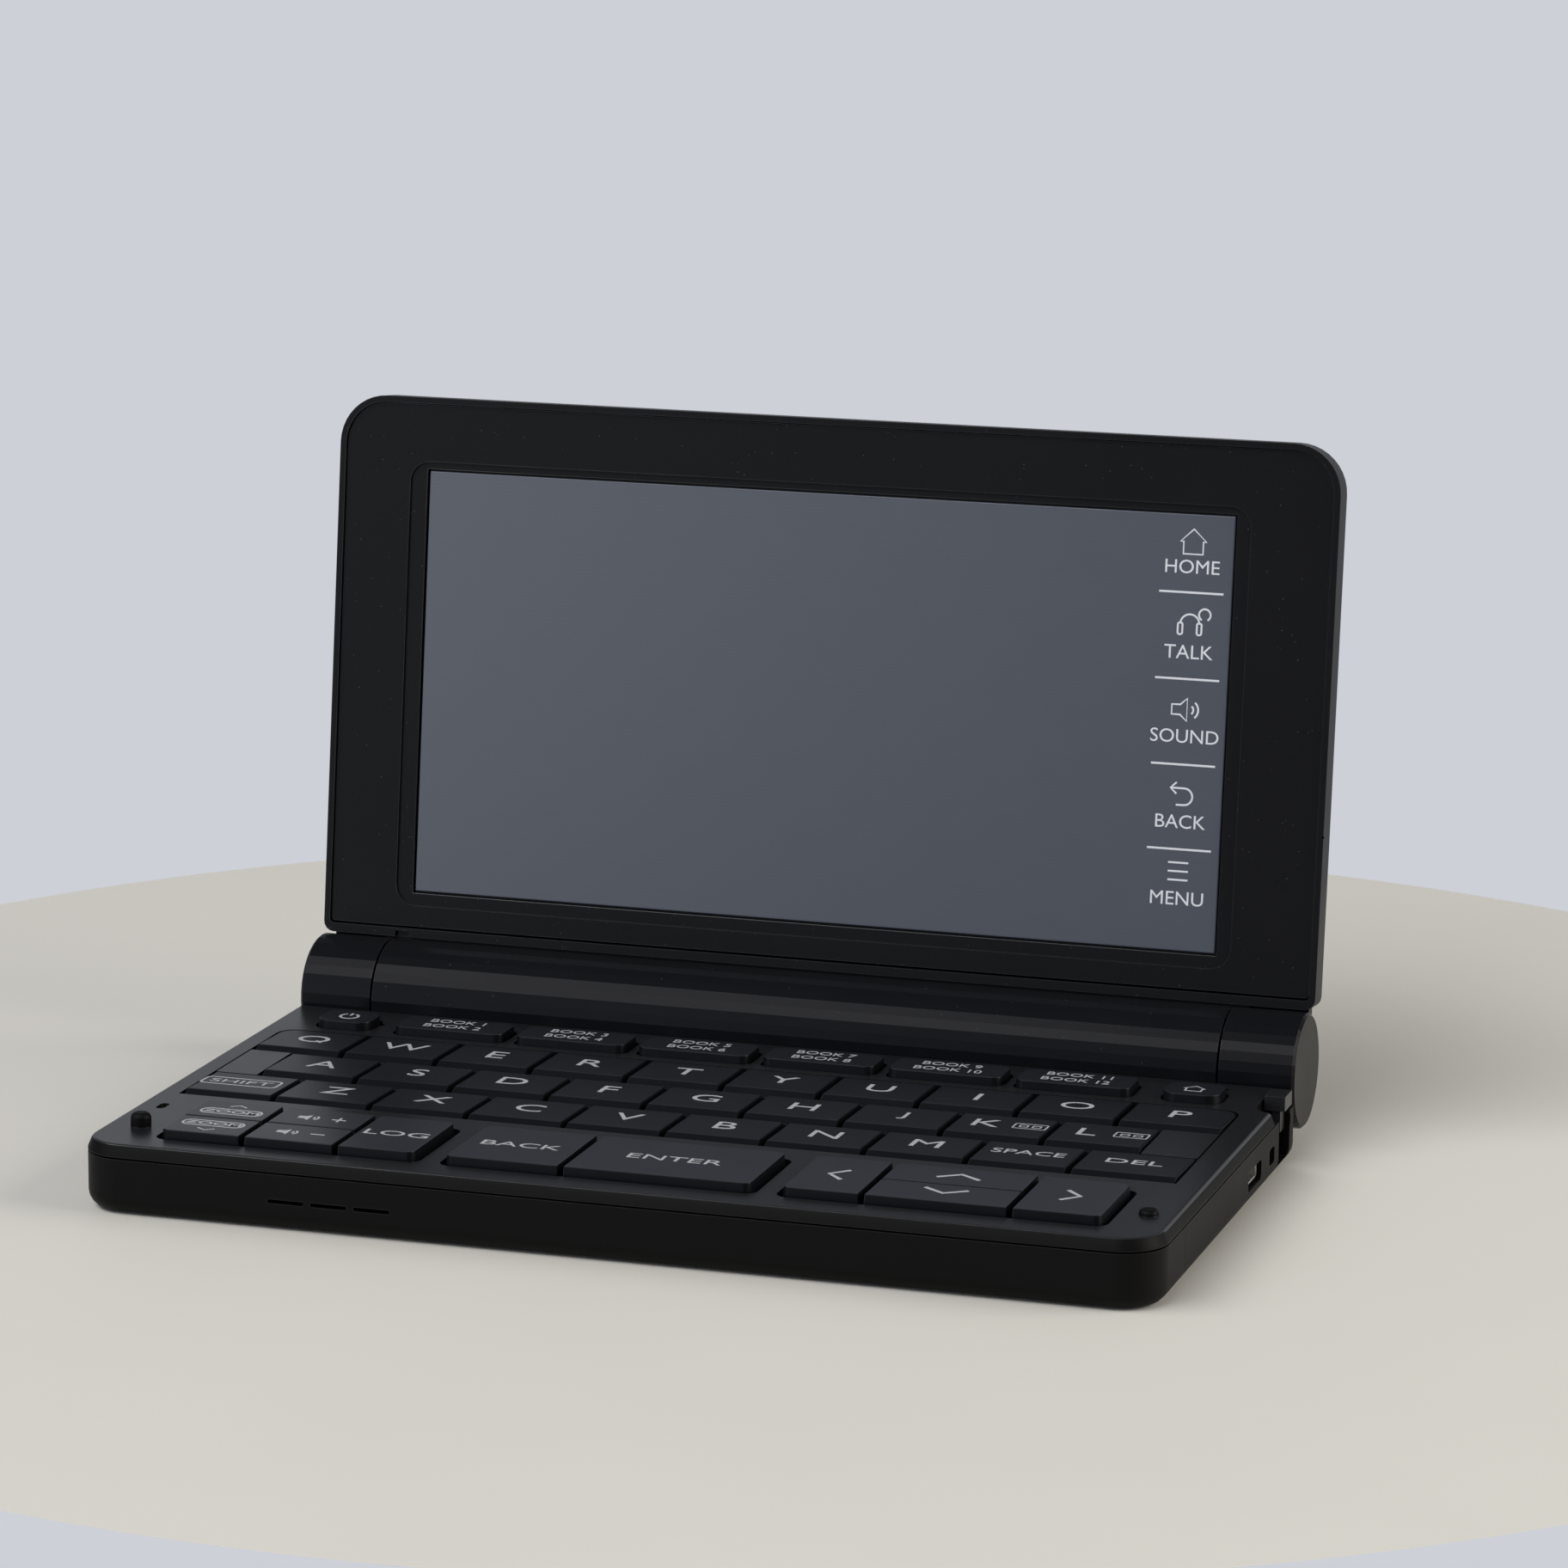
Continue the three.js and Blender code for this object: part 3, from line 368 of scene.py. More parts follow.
class DictionarySizes(bpy.types.PropertyGroup):
    """Sizes that can be changed without touching the solids"""

    case_corner: length("Case corner radius", "Radius of the front corners of the base", 6 * MM)
    case_bottom_round: length("Case lower edge radius", "Radius of the rounded edge under the base", 2.4 * MM)
    lid_corner: length("Lid corner radius", "Radius of the upper corners of the lid", 7 * MM)
    lid_back_round: length("Lid back edge radius", "Radius of the edge round the back of the lid", 1.4 * MM)
    key_edge: length("Key edge radius", "Radius of the soft edge round each key top", 0.16 * MM)
    letter_height: length("Letter height", "Height of the capitals on the letter keys", 3.7 * MM)
    letter_stretch: FloatProperty(
        name="Letter stretch",
        description="How much wider than normal the lettering is drawn",
        default=1.2,
        subtype="FACTOR",
    )
    line_width: length("Symbol line width", "Width of the lines of the symbols on the keys", 0.65 * MM)
    screen_line_width: length("Screen line width", "Width of the lines printed beside the screen", 0.27 * MM)
    corner_steps: IntProperty(
        name="Corner steps",
        description="Number of steps in each large rounded corner",
        default=10,
        min=3,
        max=24,
    )


class DictionaryColours(bpy.types.PropertyGroup):
    """Colours of the plastics, the screen and the printed legends"""

    case: tint("Case", "Black plastic of the lower case", 0.003, 0.003, 0.003)
    deck: tint("Deck", "Black plastic of the keyboard deck and the stylus", 0.0075, 0.0079, 0.0092)
    barrel: tint("Barrel", "Black plastic of the faceted barrel", 0.0052, 0.0055, 0.0068)
    lid: tint("Lid", "Black paint of the lid and the screen surround", 0.006, 0.0062, 0.007)
    keys: tint("Letter keys", "Dark grey plastic of the letter and top row keys", 0.0088, 0.0102, 0.0134)
    front_keys: tint("Front keys", "Dark grey plastic of the front row", 0.0215, 0.024, 0.03)
    knuckles: tint("Knuckles", "Plastic of the round hinge ends", 0.022, 0.021, 0.0195)
    legends: tint("Legends", "Printed letters and symbols", 0.46, 0.47, 0.49)
    screen: tint("Screen", "Unlit screen behind its glass", 0.083, 0.093, 0.117)
    rubber: tint("Rubber", "Rubber of the feet and of the key mat", 0.05, 0.05, 0.052)
    laminate: tint("Board", "Lacquer of the circuit board", 0.012, 0.085, 0.035)
    sleeve: tint("Cell sleeve", "Sleeve of the two cells", 0.32, 0.2, 0.06)
    floor: tint("Floor", "Pale floor under the object", 0.755, 0.735, 0.67)
    backdrop: tint("Backdrop", "Pale colour seen behind the object", 0.61, 0.63, 0.68)


def sizes():
    return bpy.context.scene.dictionary_sizes


def colours():
    return bpy.context.scene.dictionary_colours


# Modelling by hand: the picking helpers end in edit mode, all others in object mode
def focus(piece):
    """Selects one piece and makes it active."""
    bpy.ops.object.select_all(action="DESELECT")
    piece.select_set(True)
    bpy.context.view_layer.objects.active = piece


def settle(piece):
    """Puts the place, turn and scale of an object into its mesh."""
    focus(piece)
    bpy.ops.object.transform_apply(location=True, rotation=True, scale=True)
    return piece


def fresh(make, name, **settings):
    """Adds an object with nothing else selected, and names it."""
    bpy.ops.object.select_all(action="DESELECT")
    make(**settings)
    piece = bpy.context.active_object
    piece.name = name
    return piece


def block(name, low, high):
    """A cube primitive, given its two outermost corners."""
    low, high = Vector(low), Vector(high)
    cube = bpy.ops.mesh.primitive_cube_add
    return settle(fresh(cube, name, size=1, location=(low + high) / 2, scale=high - low))


def rod(name, radius, start, end, facets):
    """A cylinder primitive along X or Z, given the middles of its two ends."""
    start, end = Vector(start), Vector(end)
    along = end - start
    turn = (0, math.pi / 2, 0) if abs(along.x) > abs(along.z) else (0, 0, 0)
    size = {"vertices": facets, "radius": radius, "depth": along.length}
    cylinder = bpy.ops.mesh.primitive_cylinder_add
    return settle(fresh(cylinder, name, location=(start + end) / 2, rotation=turn, **size))


def pick(piece, kind, wanted):
    """Opens the piece in edit mode with only the wanted ones of its edges or faces selected."""
    focus(piece)
    bpy.ops.object.mode_set(mode="EDIT")
    bpy.ops.mesh.select_mode(type=kind)
    bpy.ops.mesh.select_all(action="DESELECT")
    bpy.ops.object.mode_set(mode="OBJECT")
    for item in piece.data.edges if kind == "EDGE" else piece.data.polygons:
        item.select = bool(wanted(item))
    bpy.ops.object.mode_set(mode="EDIT")


def pick_edges(piece, wanted):
    """Picks edges by their two ends."""
    pick(piece, "EDGE", lambda edge: wanted(*(piece.data.vertices[end].co for end in edge.vertices)))


def pick_faces(piece, wanted):
    """Picks faces by their normals."""
    pick(piece, "FACE", lambda face: wanted(face.normal))


def round_edges(piece, wanted, radius, steps):
    """Rounds the wanted edges."""
    pick_edges(piece, wanted)
    bpy.ops.mesh.bevel(offset=radius, segments=steps, affect="EDGES", clamp_overlap=True)
    bpy.ops.object.mode_set(mode="OBJECT")


def near(first, second):
    return abs(first - second) < SAME_PLACE


def upright(a, b):
    """True for an edge that runs along Z."""
    return near(a.x, b.x) and near(a.y, b.y)


def front_upright(a, b):
    """True for an edge along Z in the front half."""
    return upright(a, b) and a.y < 0


def level(a, b, height):
    """True for an edge that lies at one height."""
    return near(a.z, height) and near(b.z, height)


def along_x(a, b):
    """True for an edge that runs from left to right."""
    return near(a.y, b.y) and near(a.z, b.z)


def along_y(a, b):
    """True for an edge that runs from front to back."""
    return near(a.x, b.x) and near(a.z, b.z)


def combine(piece, other, operation):
    """Joins another solid to the piece, or cuts it away, and removes the other one."""
    focus(piece)
    change = piece.modifiers.new(operation.lower(), "BOOLEAN")
    change.operation = operation
    change.solver = "EXACT"
    change.object = other
    bpy.ops.object.modifier_apply(modifier=change.name)
    bpy.data.objects.remove(other)


def cut(piece, cutter):
    combine(piece, cutter, "DIFFERENCE")


def add(piece, other):
    combine(piece, other, "UNION")


def cut_block(piece, low, high, wanted=None, radius=0, steps=1):
    """Cuts a block away, the wanted edges of the block rounded first."""
    cutter = block("cutter", low, high)
    if wanted:
        round_edges(cutter, wanted, radius, steps)
    cut(piece, cutter)


def cut_rod(piece, radius, start, end, facets):
    """Cuts a round hole."""
    cut(piece, rod("cutter", radius, start, end, facets))


def soften(piece, radius, steps=2, angle=25, smooth=35):
    """Gives the remaining sharp edges a small radius, and shading that keeps flat faces flat."""
    focus(piece)
    edge = piece.modifiers.new("soft_edge", "BEVEL")
    edge.width = radius
    edge.segments = steps
    edge.limit_method = "ANGLE"
    edge.angle_limit = math.radians(angle)
    edge.miter_outer = "MITER_ARC"
    bpy.ops.object.modifier_apply(modifier=edge.name)
    bpy.ops.object.shade_smooth_by_angle(angle=math.radians(smooth))
    shading = piece.modifiers.new("even_shading", "WEIGHTED_NORMAL")
    shading.keep_sharp = True
    bpy.ops.object.modifier_apply(modifier=shading.name)


def clean(piece):
    """Welds doubled points and flattens what is one plane into one face."""
    focus(piece)
    bpy.ops.object.mode_set(mode="EDIT")
    bpy.ops.mesh.select_mode(type="VERT")
    bpy.ops.mesh.select_all(action="SELECT")
    bpy.ops.mesh.remove_doubles(threshold=WELD)
    bpy.ops.mesh.dissolve_limited(angle_limit=math.radians(0.5))
    bpy.ops.object.mode_set(mode="OBJECT")


def join(pieces, name):
    """Makes one object of several, each keeping its own material."""
    bpy.ops.object.select_all(action="DESELECT")
    for piece in pieces:
        piece.select_set(True)
    bpy.context.view_layer.objects.active = pieces[0]
    if len(pieces) > 1:
        bpy.ops.object.join()
    pieces[0].name = name
    return pieces[0]


def coat(piece, paint):
    """Gives the whole piece one finish."""
    piece.data.materials.clear()
    piece.data.materials.append(finish(paint))
    return piece


def coat_faces(piece, paint, wanted):
    """Gives the wanted faces of a coated piece a second finish."""
    piece.data.materials.append(finish(paint))
    for face in piece.data.polygons:
        if wanted(face):
            face.material_index = 1
    return piece


def coat_by_slope(piece, top, side, steepest):
    """Gives a piece its finish, and a darker finish as painted shade where its normal rises less than the
    steepest top.
    """
    return coat_faces(coat(piece, top), side, lambda face: face.normal.z < steepest)


def finish_piece(piece, body, stands_for):
    """Hands a finished piece to the body that it moves with."""
    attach(piece, body)
    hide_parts(*stands_for)


def into_lid(piece):
    """Leans a piece that was made square back onto the lid."""
    placed([piece], *HINGE, -LEAN)


def middle_of(low, high):
    """The middle of a box over the drawing plane."""
    return (low.x + high.x) / 2, (low.y + high.y) / 2


def lid_box(node):
    """Lowest and highest corner of a lid node, measured square to the lid."""
    upright_again = Matrix.Rotation(LEAN, 3, "X")
    points = [upright_again @ (vertex.co - HINGE) for vertex in nodes[node].data.vertices]
    low = Vector([min(point[axis] for point in points) for axis in range(3)])
    high = Vector([max(point[axis] for point in points) for axis in range(3)])
    return low, high


def refined_copy(node, name, radius, smooth):
    """A copy of a solid whose edges are softened."""
    piece = nodes[node].copy()
    piece.data = nodes[node].data.copy()
    piece.name = name
    piece.parent = None
    for key in list(piece.keys()):
        del piece[key]
    bpy.context.scene.collection.objects.link(piece)
    clean(piece)
    soften(piece, radius, smooth=smooth)
    return piece


# Lettering and symbols, drawn flat at the origin with their face up
def lettering(words, height, stretch, weight=0.0):
    """Capitals of one height, a thin closed slab."""
    text = fresh(bpy.ops.object.text_add, "words", location=(0, 0, 0))
    text.data.body = words
    text.data.align_x = "CENTER"
    text.data.resolution_u = 4
    text.data.offset = weight
    text.data.extrude = 0.5
    bpy.ops.object.convert(target="MESH")
    piece = bpy.context.active_object
    rows = [vertex.co.y for vertex in piece.data.vertices]
    columns = [vertex.co.x for vertex in piece.data.vertices]
    tall = max(rows) - min(rows)
    share = height / tall
    piece.scale = (share * stretch, share, INK_RISE * 2)
    piece.location = (
        -(max(columns) + min(columns)) / 2 * share * stretch,
        -(max(rows) + min(rows)) / 2 * share,
        0,
    )
    return settle(piece)


def outline(points, fill, height):
    """A closed ring of edges through the points, empty or filled."""
    circle = bpy.ops.mesh.primitive_circle_add
    ring = fresh(circle, "outline", vertices=len(points), radius=MM, fill_type=fill)
    for vertex, (x, y) in zip(ring.data.vertices, points):
        vertex.co = (x, y, height)
    return ring


def drawn_line(points, width, closed=False):
    """A line of one width through the points, a thin closed strip."""
    if len(points) == 2:
        middle = ((points[0][0] + points[1][0]) / 2, (points[0][1] + points[1][1]) / 2)
        points = [points[0], middle, points[1]]
    line = outline(points, "NOTHING", 0)
    if not closed:
        last = len(points) - 1
        ends = [line.data.vertices[number].co.copy() for number in (0, last)]
        pick_edges(line, lambda a, b: [a, b] == ends or [b, a] == ends)
        bpy.ops.mesh.delete(type="EDGE")
        bpy.ops.object.mode_set(mode="OBJECT")
    focus(line)
    bpy.ops.object.convert(target="CURVE")
    line = bpy.context.active_object
    line.data.bevel_depth = width / 2
    line.data.bevel_resolution = 1
    line.data.use_fill_caps = True
    bpy.ops.object.convert(target="MESH")
    line = bpy.context.active_object
    line.scale = (1, 1, INK_RISE * 2 / width)
    return settle(line)


def filled_shape(points):
    """A flat shape filled in, a thin closed slab."""
    shape = outline(points, "NGON", -INK_RISE)
    bpy.ops.object.mode_set(mode="EDIT")
    bpy.ops.mesh.select_all(action="SELECT")
    bpy.ops.mesh.extrude_region_move(TRANSFORM_OT_translate={"value": (0, 0, INK_RISE * 2)})
    bpy.ops.mesh.select_all(action="SELECT")
    bpy.ops.mesh.normals_make_consistent(inside=False)
    bpy.ops.object.mode_set(mode="OBJECT")
    return shape


def arc(middle, radius, start, end, steps):
    """Points along an arc, its angles in degrees."""
    turns = [math.radians(start + (end - start) * step / steps) for step in range(steps + 1)]
    return [(middle[0] + radius * math.cos(turn), middle[1] + radius * math.sin(turn)) for turn in turns]


def frame_points(width, height, corner):
    """Points round a box with rounded corners."""
    points = []
    for number, (side, end) in enumerate([(1, 1), (-1, 1), (-1, -1), (1, -1)]):
        middle = (side * (width / 2 - corner), end * (height / 2 - corner))
        points += arc(middle, corner, 90 * number, 90 * number + 90, 3)
    return points


def placed(pieces, x, y, z=0, turn=0):
    """Turns flat pieces about X and puts them in their place."""
    for piece in pieces:
        piece.rotation_euler.x = turn
        piece.location = (x, y, z)
        settle(piece)
    return pieces


def chevron(width, height, line_width, turn):
    """An open arrowhead that points up before it is turned."""
    line = drawn_line([(-width / 2, -height / 2), (0, height / 2), (width / 2, -height / 2)], line_width)
    line.rotation_euler.z = math.radians(turn)
    return [settle(line)]


def house(width, height, line_width):
    """A house in outline."""
    half = width / 2
    wall = half * 0.76
    points = [(-half, 0), (0, height / 2), (half, 0), (wall, 0), (wall, -height / 2)]
    points += [(-wall, -height / 2), (-wall, 0)]
    return [drawn_line(points, line_width, closed=True)]


def power_sign(radius, line_width):
    """An open ring with a stroke in its gap."""
    ring = drawn_line(arc((0, 0), radius, 120, 420, 20), line_width)
    stroke = drawn_line([(0, radius * 0.3), (0, radius * 1.2)], line_width)
    return [ring, stroke]


def loudspeaker(width, line_width, waves, filled=False):
    """A loudspeaker with its sound waves."""
    half = width / 2
    points = [(-half, -half * 0.35), (-half * 0.4, -half * 0.35), (half * 0.1, -half * 0.8)]
    points += [(half * 0.1, half * 0.8), (-half * 0.4, half * 0.35), (-half, half * 0.35)]
    pieces = [filled_shape(points) if filled else drawn_line(points, line_width, closed=True)]
    for number in range(waves):
        radius = half * (0.35 + 0.35 * number)
        pieces.append(drawn_line(arc((half * 0.2, 0), radius, -50, 50, 8), line_width))
    return pieces


# Shader nodes
def feed(tree, socket, value):
    """Links a socket into another one, or sets its value."""
    if isinstance(value, bpy.types.NodeSocket):
        tree.links.new(value, socket)
    else:
        socket.default_value = value


def shader_node(tree, kind, **inputs):
    """A new node, its inputs fed by their names in small letters."""
    node = tree.nodes.new(f"ShaderNode{kind}")
    for label, value in inputs.items():
        feed(tree, node.inputs[label.replace("_", " ").title()], value)
    return node


def math_node(tree, operation, *values):
    """A Math node; each value is a socket or a number."""
    node = tree.nodes.new("ShaderNodeMath")
    node.operation = operation
    for socket, value in zip(node.inputs, values):
        feed(tree, socket, value)
    return node.outputs[0]


def times(tree, first, second):
    return math_node(tree, "MULTIPLY", first, second)


def ranged(tree, value, low, high):
    """Spreads a 0 to 1 value over a new range."""
    return shader_node(tree, "MapRange", value=value, to_min=low, to_max=high).outputs["Result"]


def between(tree, value, start, end):
    """Spreads the stretch from start to end over 0 to 1."""
    return shader_node(tree, "MapRange", value=value, from_min=start, from_max=end).outputs["Result"]


def mixed(tree, share, first, second):
    """A colour mix; each colour is a socket or three numbers."""
    node = tree.nodes.new("ShaderNodeMix")
    node.data_type = "RGBA"
    tree.links.new(share, node.inputs["Factor"])
    for label, value in [("A", first), ("B", second)]:
        socket = next(item for item in node.inputs if item.name == label and item.type == "RGBA")
        feed(tree, socket, value if isinstance(value, bpy.types.NodeSocket) else (*value, 1))
    return next(item for item in node.outputs if item.type == "RGBA")


def scaled(colour, share):
    return [channel * share for channel in colour]


# Shared node groups: each function gives the masks and values that its group puts out
def grain_nodes(group, entry):
    """Fine moulded texture and the slow mottling of a plastic surface."""
    scale = math_node(group, "DIVIDE", 1.0, entry["Grain Size"])
    fine = shader_node(group, "TexVoronoi", vector=entry["Place"], scale=scale)
    fine.feature = "SMOOTH_F1"
    rough = shader_node(group, "TexNoise", vector=entry["Place"], scale=times(group, scale, 0.6), detail=3)
    height = math_node(group, "ADD", times(group, fine.outputs["Distance"], 0.6), rough.outputs["Fac"])
    slow = shader_node(group, "TexNoise", vector=entry["Place"], scale=times(group, scale, 0.02), detail=5)
    return height, slow.outputs["Fac"]


def flake_nodes(group, entry):
    """Sparse bright flakes in the paint."""
    scale = math_node(group, "DIVIDE", 1.0, entry["Spacing"])
    cells = shader_node(group, "TexVoronoi", vector=entry["Place"], scale=scale)
    chosen = shader_node(group, "SeparateColor", color=cells.outputs["Color"])
    picked = math_node(group, "LESS_THAN", chosen.outputs["Red"], entry["Share"])
    small = math_node(group, "LESS_THAN", cells.outputs["Distance"], 0.16)
    return [times(group, times(group, picked, small), chosen.outputs["Green"])]


def edge_wear_and_highlight_nodes(group, entry):
    """Edges that handling has polished, found with a bevelled normal and broken up by noise; mould lightens
    them with this mask as a painted highlight.
    """
    surface = shader_node(group, "NewGeometry")
    rounded = shader_node(group, "Bevel", radius=entry["Reach"])
    rounded.samples = 4
    likeness = group.nodes.new("ShaderNodeVectorMath")
    likeness.operation = "DOT_PRODUCT"
    feed(group, likeness.inputs[0], surface.outputs["Normal"])
    feed(group, likeness.inputs[1], rounded.outputs["Normal"])
    edges = between(group, likeness.outputs["Value"], 0.99, 0.8)
    patches = shader_node(group, "TexNoise", vector=entry["Place"], scale=260, detail=4)
    return [times(group, edges, math_node(group, "ADD", patches.outputs["Fac"], 0.3))]


def dust_nodes(group, entry):
    """Specks and a thin veil of dust on surfaces that face up."""
    surface = shader_node(group, "NewGeometry")
    way = shader_node(group, "SeparateXYZ", vector=surface.outputs["Normal"])
    up = between(group, way.outputs["Z"], 0.35, 1.0)
    veil = shader_node(group, "TexNoise", vector=entry["Place"], scale=90, detail=6)
    specks = shader_node(group, "TexVoronoi", vector=entry["Place"], scale=420)
    speck = math_node(group, "LESS_THAN", specks.outputs["Distance"], 0.05)
    cover = math_node(group, "ADD", times(group, veil.outputs["Fac"], 0.35), speck)
    return [times(group, times(group, cover, entry["Amount"]), up)]


# Each shared group: its function, its inputs beside the place with their usual values, and its outputs
GROUPS = {
    "Moulded grain": (grain_nodes, {"Grain Size": 0.2 * MM}, ["Height", "Mottle"]),
    "Paint flakes": (flake_nodes, {"Spacing": 0.5 * MM, "Share": 0.1}, ["Mask"]),
    # The edge mask serves both for wear and for a painted highlight along edges.
    "Edge wear and painted highlight": (edge_wear_and_highlight_nodes, {"Reach": 0.2 * MM}, ["Mask"]),
    "Settled dust": (dust_nodes, {"Amount": 0.1}, ["Mask"]),
}


def new_group(name):
    """Makes one shared group with its sockets and nodes."""
    build, values, results = GROUPS[name]
    group = bpy.data.node_groups.new(name, "ShaderNodeTree")
    group.interface.new_socket(name="Place", in_out="INPUT", socket_type="NodeSocketVector")
    for label, usual in values.items():
        socket = group.interface.new_socket(name=label, in_out="INPUT", socket_type="NodeSocketFloat")
        socket.default_value = usual
    for label in results:
        group.interface.new_socket(name=label, in_out="OUTPUT", socket_type="NodeSocketFloat")
    entry = group.nodes.new("NodeGroupInput").outputs
    leave = group.nodes.new("NodeGroupOutput").inputs
    for label, result in zip(results, build(group, entry)):
        group.links.new(result, leave[label])
    return group


def placed_group(tree, name, place, **values):
    """The outputs of a shared group, fed with Object coordinates and its own values."""
    node = tree.nodes.new("ShaderNodeGroup")
    node.node_tree = bpy.data.node_groups.get(name) or new_group(name)
    feed(tree, node.inputs["Place"], place)
    for label, value in values.items():
        feed(tree, node.inputs[label.replace("_", " ").title()], value)
    return node.outputs


# Materials: each function paints the material that bears its name
def finish(paint):
    """The material that a function paints, made when it is first asked for."""
    found = bpy.data.materials.get(paint.__name__)
    if found:
        return found
    material = bpy.data.materials.new(paint.__name__)
    material.use_nodes = True
    tree = material.node_tree
    place = tree.nodes.new("ShaderNodeTexCoord").outputs["Object"]
    paint(tree, tree.nodes["Principled BSDF"], place)
    return material


def paint_surface(tree, shader, tone, gloss):
    """Feeds the shader its colour and its roughness."""
    feed(tree, shader.inputs["Base Color"], tone)
    feed(tree, shader.inputs["Roughness"], gloss)


def bumped(tree, shader, height, depth, strength):
    """Feeds a height into the shader's normal."""
    bump = shader_node(tree, "Bump", height=height, distance=depth, strength=strength)
    feed(tree, shader.inputs["Normal"], bump.outputs["Normal"])


def mould(tree, shader, place, colour, grain, depth, gloss, flakes=0, dust=0, shine=0.2, edges=0.003):
    """A moulded plastic with grain, mottling, flakes, polished edges lightened as a painted highlight, and a
    little dust.
    """
    grains = placed_group(tree, "Moulded grain", place, grain_size=grain)
    sparkle = placed_group(tree, "Paint flakes", place, share=flakes)["Mask"]
    wear_and_highlight = placed_group(tree, "Edge wear and painted highlight", place)["Mask"]
    settled = placed_group(tree, "Settled dust", place, amount=dust)["Mask"]
    # Edge colour: polished plastic made lighter as a painted highlight along every edge; edges sets how much
    # lighter.
    polished = [channel * 2 + edges for channel in colour]
    tone = mixed(tree, grains["Mottle"], colour, scaled(colour, 1.3))
    tone = mixed(tree, times(tree, sparkle, 0.5), tone, (0.16, 0.16, 0.17))
    tone = mixed(tree, wear_and_highlight, tone, polished)
    tone = mixed(tree, settled, tone, (0.3, 0.29, 0.28))
    dulness = math_node(tree, "SUBTRACT", ranged(tree, grains["Mottle"], *gloss), times(tree, wear_and_highlight, 0.12))
    paint_surface(tree, shader, tone, dulness)
    feed(tree, shader.inputs["Specular IOR Level"], math_node(tree, "ADD", times(tree, wear_and_highlight, 0.4), shine))
    bumped(tree, shader, grains["Height"], depth, 0.5)


def case_finish(*nodes):
    surface = {"grain": 0.22 * MM, "depth": 0.02 * MM, "gloss": (0.44, 0.54)}
    mould(*nodes, colours().case, **surface, dust=0.01, shine=0.09)


def deck_finish(*nodes):
    surface = {"grain": 0.25 * MM, "depth": 0.015 * MM, "gloss": (0.26, 0.34)}
    # A larger edges value lightens the deck's edges further as a painted highlight.
    mould(*nodes, colours().deck, **surface, flakes=0.03, dust=0.012, shine=0.8, edges=0.02)


def barrel_finish(*nodes):
    surface = {"grain": 0.25 * MM, "depth": 0.01 * MM, "gloss": (0.24, 0.3)}
    mould(*nodes, colours().barrel, **surface, flakes=0.02, dust=0.01, shine=0.08)


def lid_finish(*nodes):
    surface = {"grain": 0.25 * MM, "depth": 0.012 * MM, "gloss": (0.32, 0.4)}
    mould(*nodes, colours().lid, **surface, flakes=0.08, dust=0.01, shine=0.11)


def polished_edge(*nodes):
    """The bright-polished edge of the screen's window."""
    surface = {"grain": 0.25 * MM, "depth": 0.001 * MM, "gloss": (0.05, 0.1)}
    mould(*nodes, colours().lid, **surface, shine=1)


def key_finish(*nodes):
    surface = {"grain": 0.2 * MM, "depth": 0.012 * MM, "gloss": (0.3, 0.38)}
    mould(*nodes, colours().keys, **surface, dust=0.015, shine=0.25)


def front_key_finish(*nodes):
    surface = {"grain": 0.2 * MM, "depth": 0.012 * MM, "gloss": (0.28, 0.36)}
    mould(*nodes, colours().front_keys, **surface, dust=0.015, shine=0.3)


def key_side_finish(*nodes):
    """Painted shade on the key sides: the letter keys' plastic at a lower tone, a little rougher and less
    shiny.
    """
    surface = {"grain": 0.2 * MM, "depth": 0.012 * MM, "gloss": (0.34, 0.42)}
    mould(*nodes, scaled(colours().keys, 0.4), **surface, shine=0.12)


def knuckle_finish(*nodes):
    surface = {"grain": 0.3 * MM, "depth": 0.02 * MM, "gloss": (0.4, 0.55)}
    mould(*nodes, colours().knuckles, **surface, flakes=0.02, dust=0.01)


def rubber_finish(*nodes):
    surface = {"grain": 0.4 * MM, "depth": 0.03 * MM, "gloss": (0.75, 0.9)}
    mould(*nodes, colours().rubber, **surface, dust=0.03)


def speaker_finish(*nodes):
    surface = {"grain": 0.3 * MM, "depth": 0.02 * MM, "gloss": (0.5, 0.6)}
    mould(*nodes, (0.03, 0.03, 0.033), **surface, dust=0.05)


def socket_metal(tree, shader, place):
    """Bright plated metal with fine scratches."""
    grain = placed_group(tree, "Moulded grain", place, grain_size=0.1 * MM)
    tone = mixed(tree, grain["Mottle"], (0.8, 0.79, 0.76), (0.92, 0.91, 0.88))
    paint_surface(tree, shader, tone, ranged(tree, grain["Height"], 0.2, 0.34))
    shader.inputs["Metallic"].default_value = 1


def legend_ink(tree, shader, place):
    """White printing whose cover varies a little."""
    grain = placed_group(tree, "Moulded grain", place, grain_size=0.12 * MM)
    tone = mixed(tree, grain["Height"], scaled(colours().legends, 0.82), colours().legends)
    paint_surface(tree, shader, tone, ranged(tree, grain["Mottle"], 0.5, 0.65))
    bumped(tree, shader, grain["Height"], 0.004 * MM, 0.3)


def screen_ink(tree, shader, place):
    """Pale printing behind the screen's surface."""
    grain = placed_group(tree, "Moulded grain", place, grain_size=0.2 * MM)
    tone = mixed(tree, grain["Height"], (0.7, 0.72, 0.76), (0.82, 0.84, 0.88))
    paint_surface(tree, shader, tone, ranged(tree, grain["Mottle"], 0.4, 0.5))


def brick_pattern(tree, place, scale, line, first, second, between_them):
    """A pattern of rows in three colours."""
    pattern = shader_node(tree, "TexBrick", vector=place, scale=scale, mortar_size=line)
    for label, colour in (("Color1", first), ("Color2", second), ("Mortar", between_them)):
        pattern.inputs[label].default_value = (*colour, 1)
    return pattern


